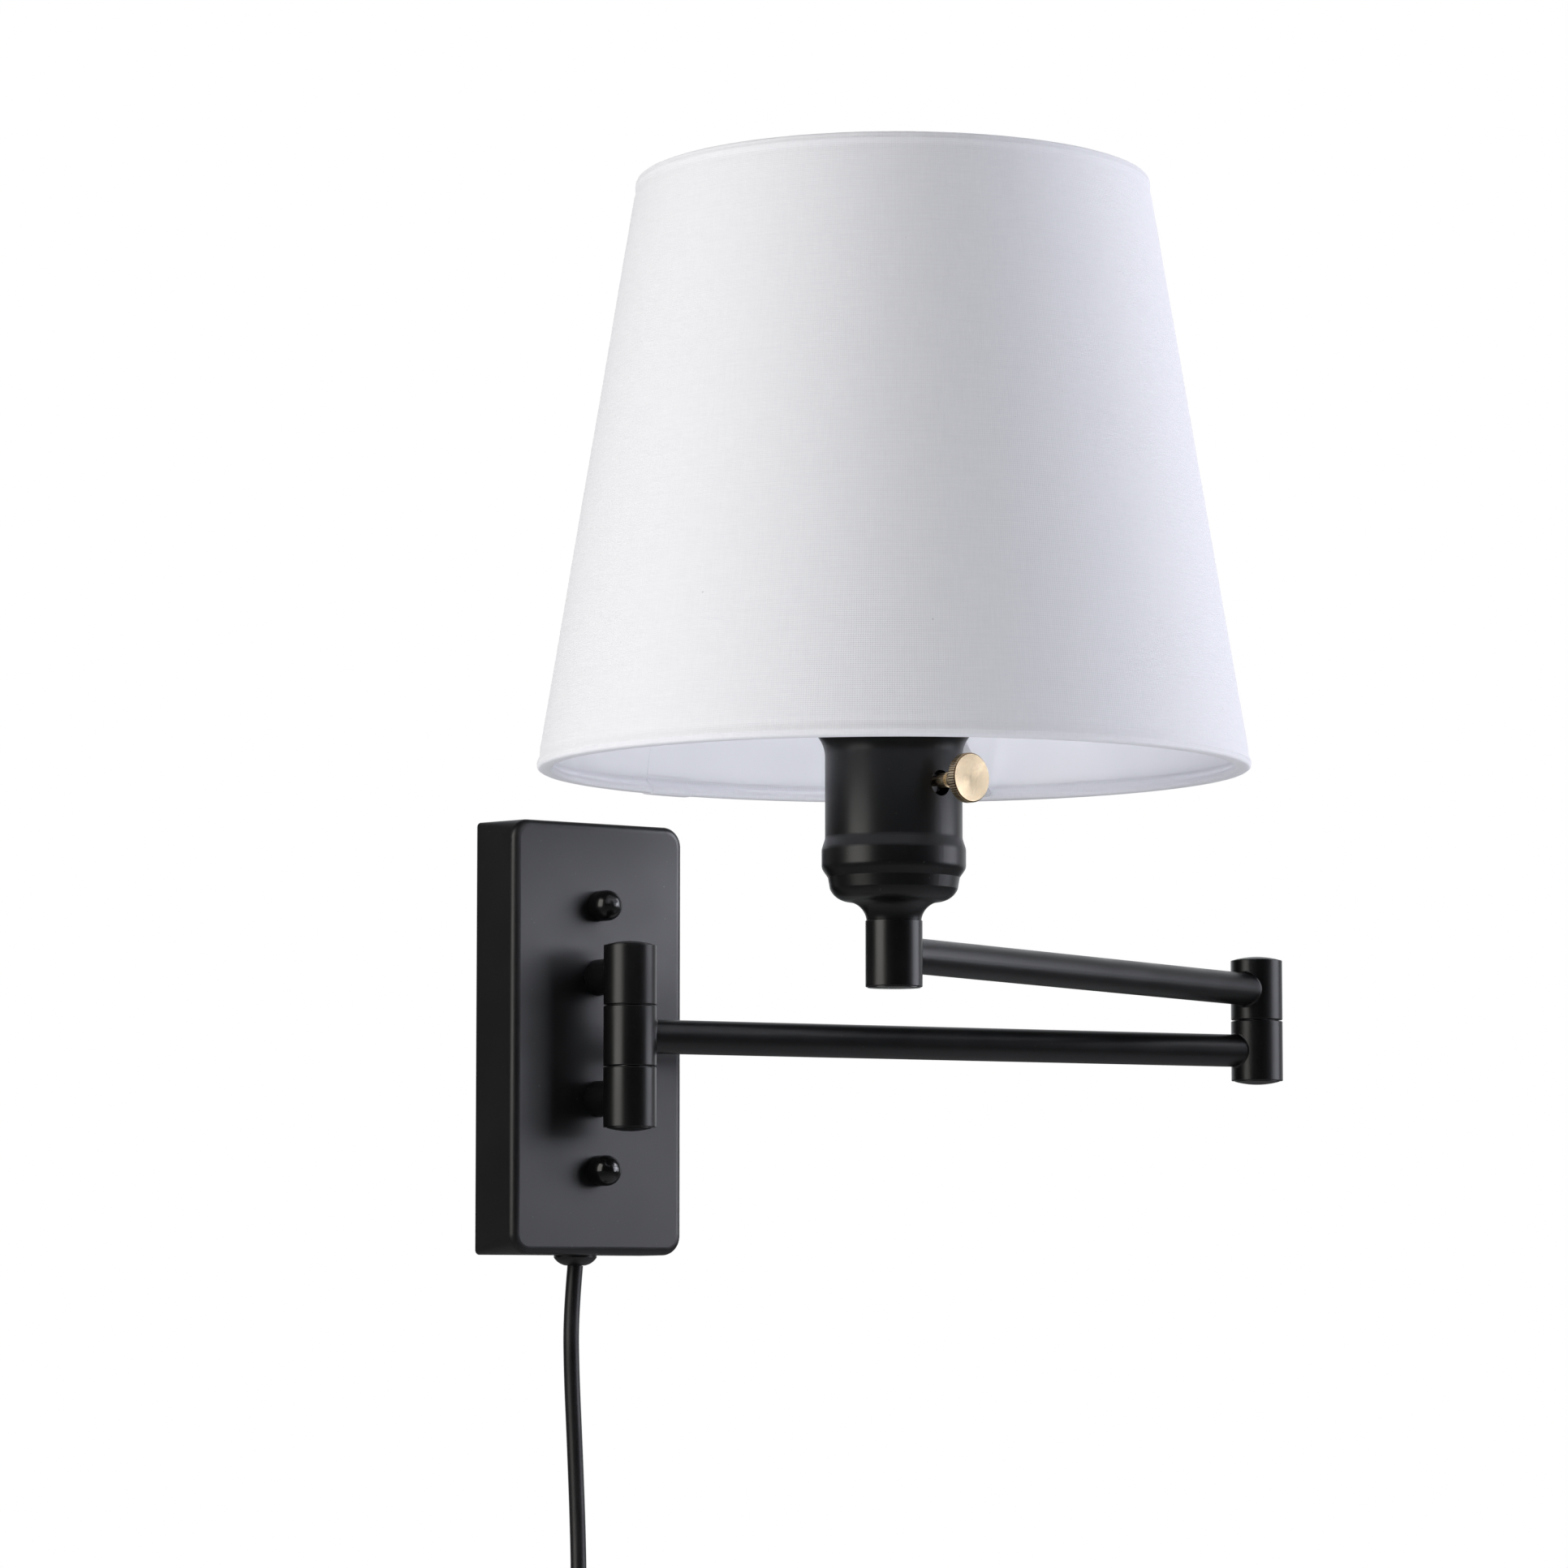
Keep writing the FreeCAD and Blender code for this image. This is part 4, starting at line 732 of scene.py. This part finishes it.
def aim_lamp(lamp, turn, rise, distance):
    """Turn is from the camera to its right and rise is above the horizon, in degrees."""
    back = Vector((-math.sin(CAMERA_YAW), -math.cos(CAMERA_YAW), 0))
    right = Vector((math.cos(CAMERA_YAW), -math.sin(CAMERA_YAW), 0))
    turn, rise = math.radians(turn), math.radians(rise)
    out = (back * math.cos(turn) + right * math.sin(turn)) * math.cos(rise)
    out += Vector((0, 0, math.sin(rise)))
    lamp.location = AIM + out * distance
    lamp.rotation_euler = (-out).to_track_quat("-Z", "Y").to_euler()


def make_softbox(name, turn, rise, distance, size, strength, tint=PALE, only=None, shadows=None):
    """A soft light that faces the object. Strength is the brightness of its face. Only and
    shadows are collections of the pieces that it lights and of those that block it."""
    width, height = size
    data = bpy.data.lights.new(name, "AREA")
    data.shape = "RECTANGLE"
    data.size, data.size_y = width, height
    data.energy = strength * math.pi * width * height
    data.color = tint
    lamp = bpy.data.objects.new(name, data)
    aim_lamp(lamp, turn, rise, distance)
    lamp.visible_camera = False
    lamp.light_linking.receiver_collection = only
    lamp.light_linking.blocker_collection = shadows
    bpy.context.scene.collection.objects.link(lamp)


def collect(name, members):
    group = bpy.data.collections.new(name)
    for member in members:
        group.objects.link(member)
    return group


def make_shade_glow():
    """Daylight that real cloth lets through: a weak light inside, on the liner and the wire."""
    data = bpy.data.lights.new("shade_glow", "POINT")
    data.energy = GLOW_POWER
    data.color = PALE
    data.shadow_soft_size = GLOW_SIZE
    lamp = bpy.data.objects.new("shade_glow", data)
    height = shade_low + GLOW_HEIGHT * (shade_high - shade_low)
    lamp.location = (shade_axis.x, shade_axis.y, height)
    lamp.visible_camera = False
    lamp.light_linking.receiver_collection = collect("shade_inside", white_parts[1:])
    bpy.context.scene.collection.objects.link(lamp)
    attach(lamp, "upper_arm")


def make_sky():
    """A white surround. As light it fades from the far side of the object to the
    camera's side, as in a studio whose background alone is lit."""
    world = bpy.data.worlds.new("surround")
    world.use_nodes = True
    tree = world.node_tree
    seen, lit = tree.nodes["Background"], tree.nodes.new("ShaderNodeBackground")
    seen.inputs["Color"].default_value = (1.0, 1.0, 1.0, 1.0)
    lit.inputs["Color"].default_value = (0.95, 0.97, 1.0, 1.0)
    way = tree.nodes.new("ShaderNodeTexCoord").outputs["Generated"]
    ahead = tree.nodes.new("ShaderNodeVectorMath")
    ahead.operation = "DOT_PRODUCT"
    ahead.inputs[1].default_value = (facing.x, facing.y, 0.0)
    fade = tree.nodes.new("ShaderNodeMapRange")
    fade.interpolation_type = "SMOOTHSTEP"
    for socket, number in zip(fade.inputs[1:5], (SKY_START, SKY_FULL, SKY_NEAR, SKY_FAR)):
        socket.default_value = number
    ray = tree.nodes.new("ShaderNodeLightPath")
    choose = tree.nodes.new("ShaderNodeMixShader")
    tree.links.new(way, ahead.inputs[0])
    tree.links.new(ahead.outputs["Value"], fade.inputs[0])
    tree.links.new(fade.outputs[0], lit.inputs["Strength"])
    tree.links.new(ray.outputs["Is Camera Ray"], choose.inputs[0])
    tree.links.new(lit.outputs[0], choose.inputs[1])
    tree.links.new(seen.outputs[0], choose.inputs[2])
    tree.links.new(choose.outputs[0], tree.nodes["World Output"].inputs["Surface"])
    bpy.context.scene.world = world


def make_lights():
    """Two softboxes light everything. The fills are each for a few pieces."""
    make_softbox("right_softbox", 94.0, 12.0, 1.4, (0.9, 1.1), 3.6, COOL)
    make_softbox("left_softbox", -54.0, 12.0, 0.95, (0.62, 0.85), 3.0, WARM)
    cloth = collect("cloth", [shade])
    make_softbox("cloth_fill_left", -75.0, 10.0, 1.5, (1.0, 1.0), 1.9, only=cloth)
    make_softbox("cloth_fill_front", 15.0, 40.0, 1.5, (1.0, 1.0), 1.6, only=cloth)
    make_softbox("cloth_fill_right", 90.0, 10.0, 1.5, (0.5, 1.0), 4.4, only=cloth)
    whites = collect("white_parts", white_parts)
    make_softbox("white_fill_low", 0.0, -50.0, 0.9, (0.6, 0.6), 2.8, only=whites)
    plate = collect("plate_parts", [nodes["backplate"], nodes["cap_nuts"]])
    blockers = collect("plate_shadows", [node for node in nodes.values() if node not in white_parts])
    make_softbox("plate_fill", 78.0, 20.0, 1.4, (0.9, 1.1), 5.2, COOL, plate, blockers)
    knob = collect("knob_parts", [nodes["switch_knob"]])
    make_softbox("knob_fill", 80.0, 0.0, 1.2, (0.5, 0.8), 1.0, only=knob)
    make_shade_glow()


make_camera()
make_floor()
make_sky()
make_lights()
bpy.context.scene.view_settings.view_transform = "Standard"
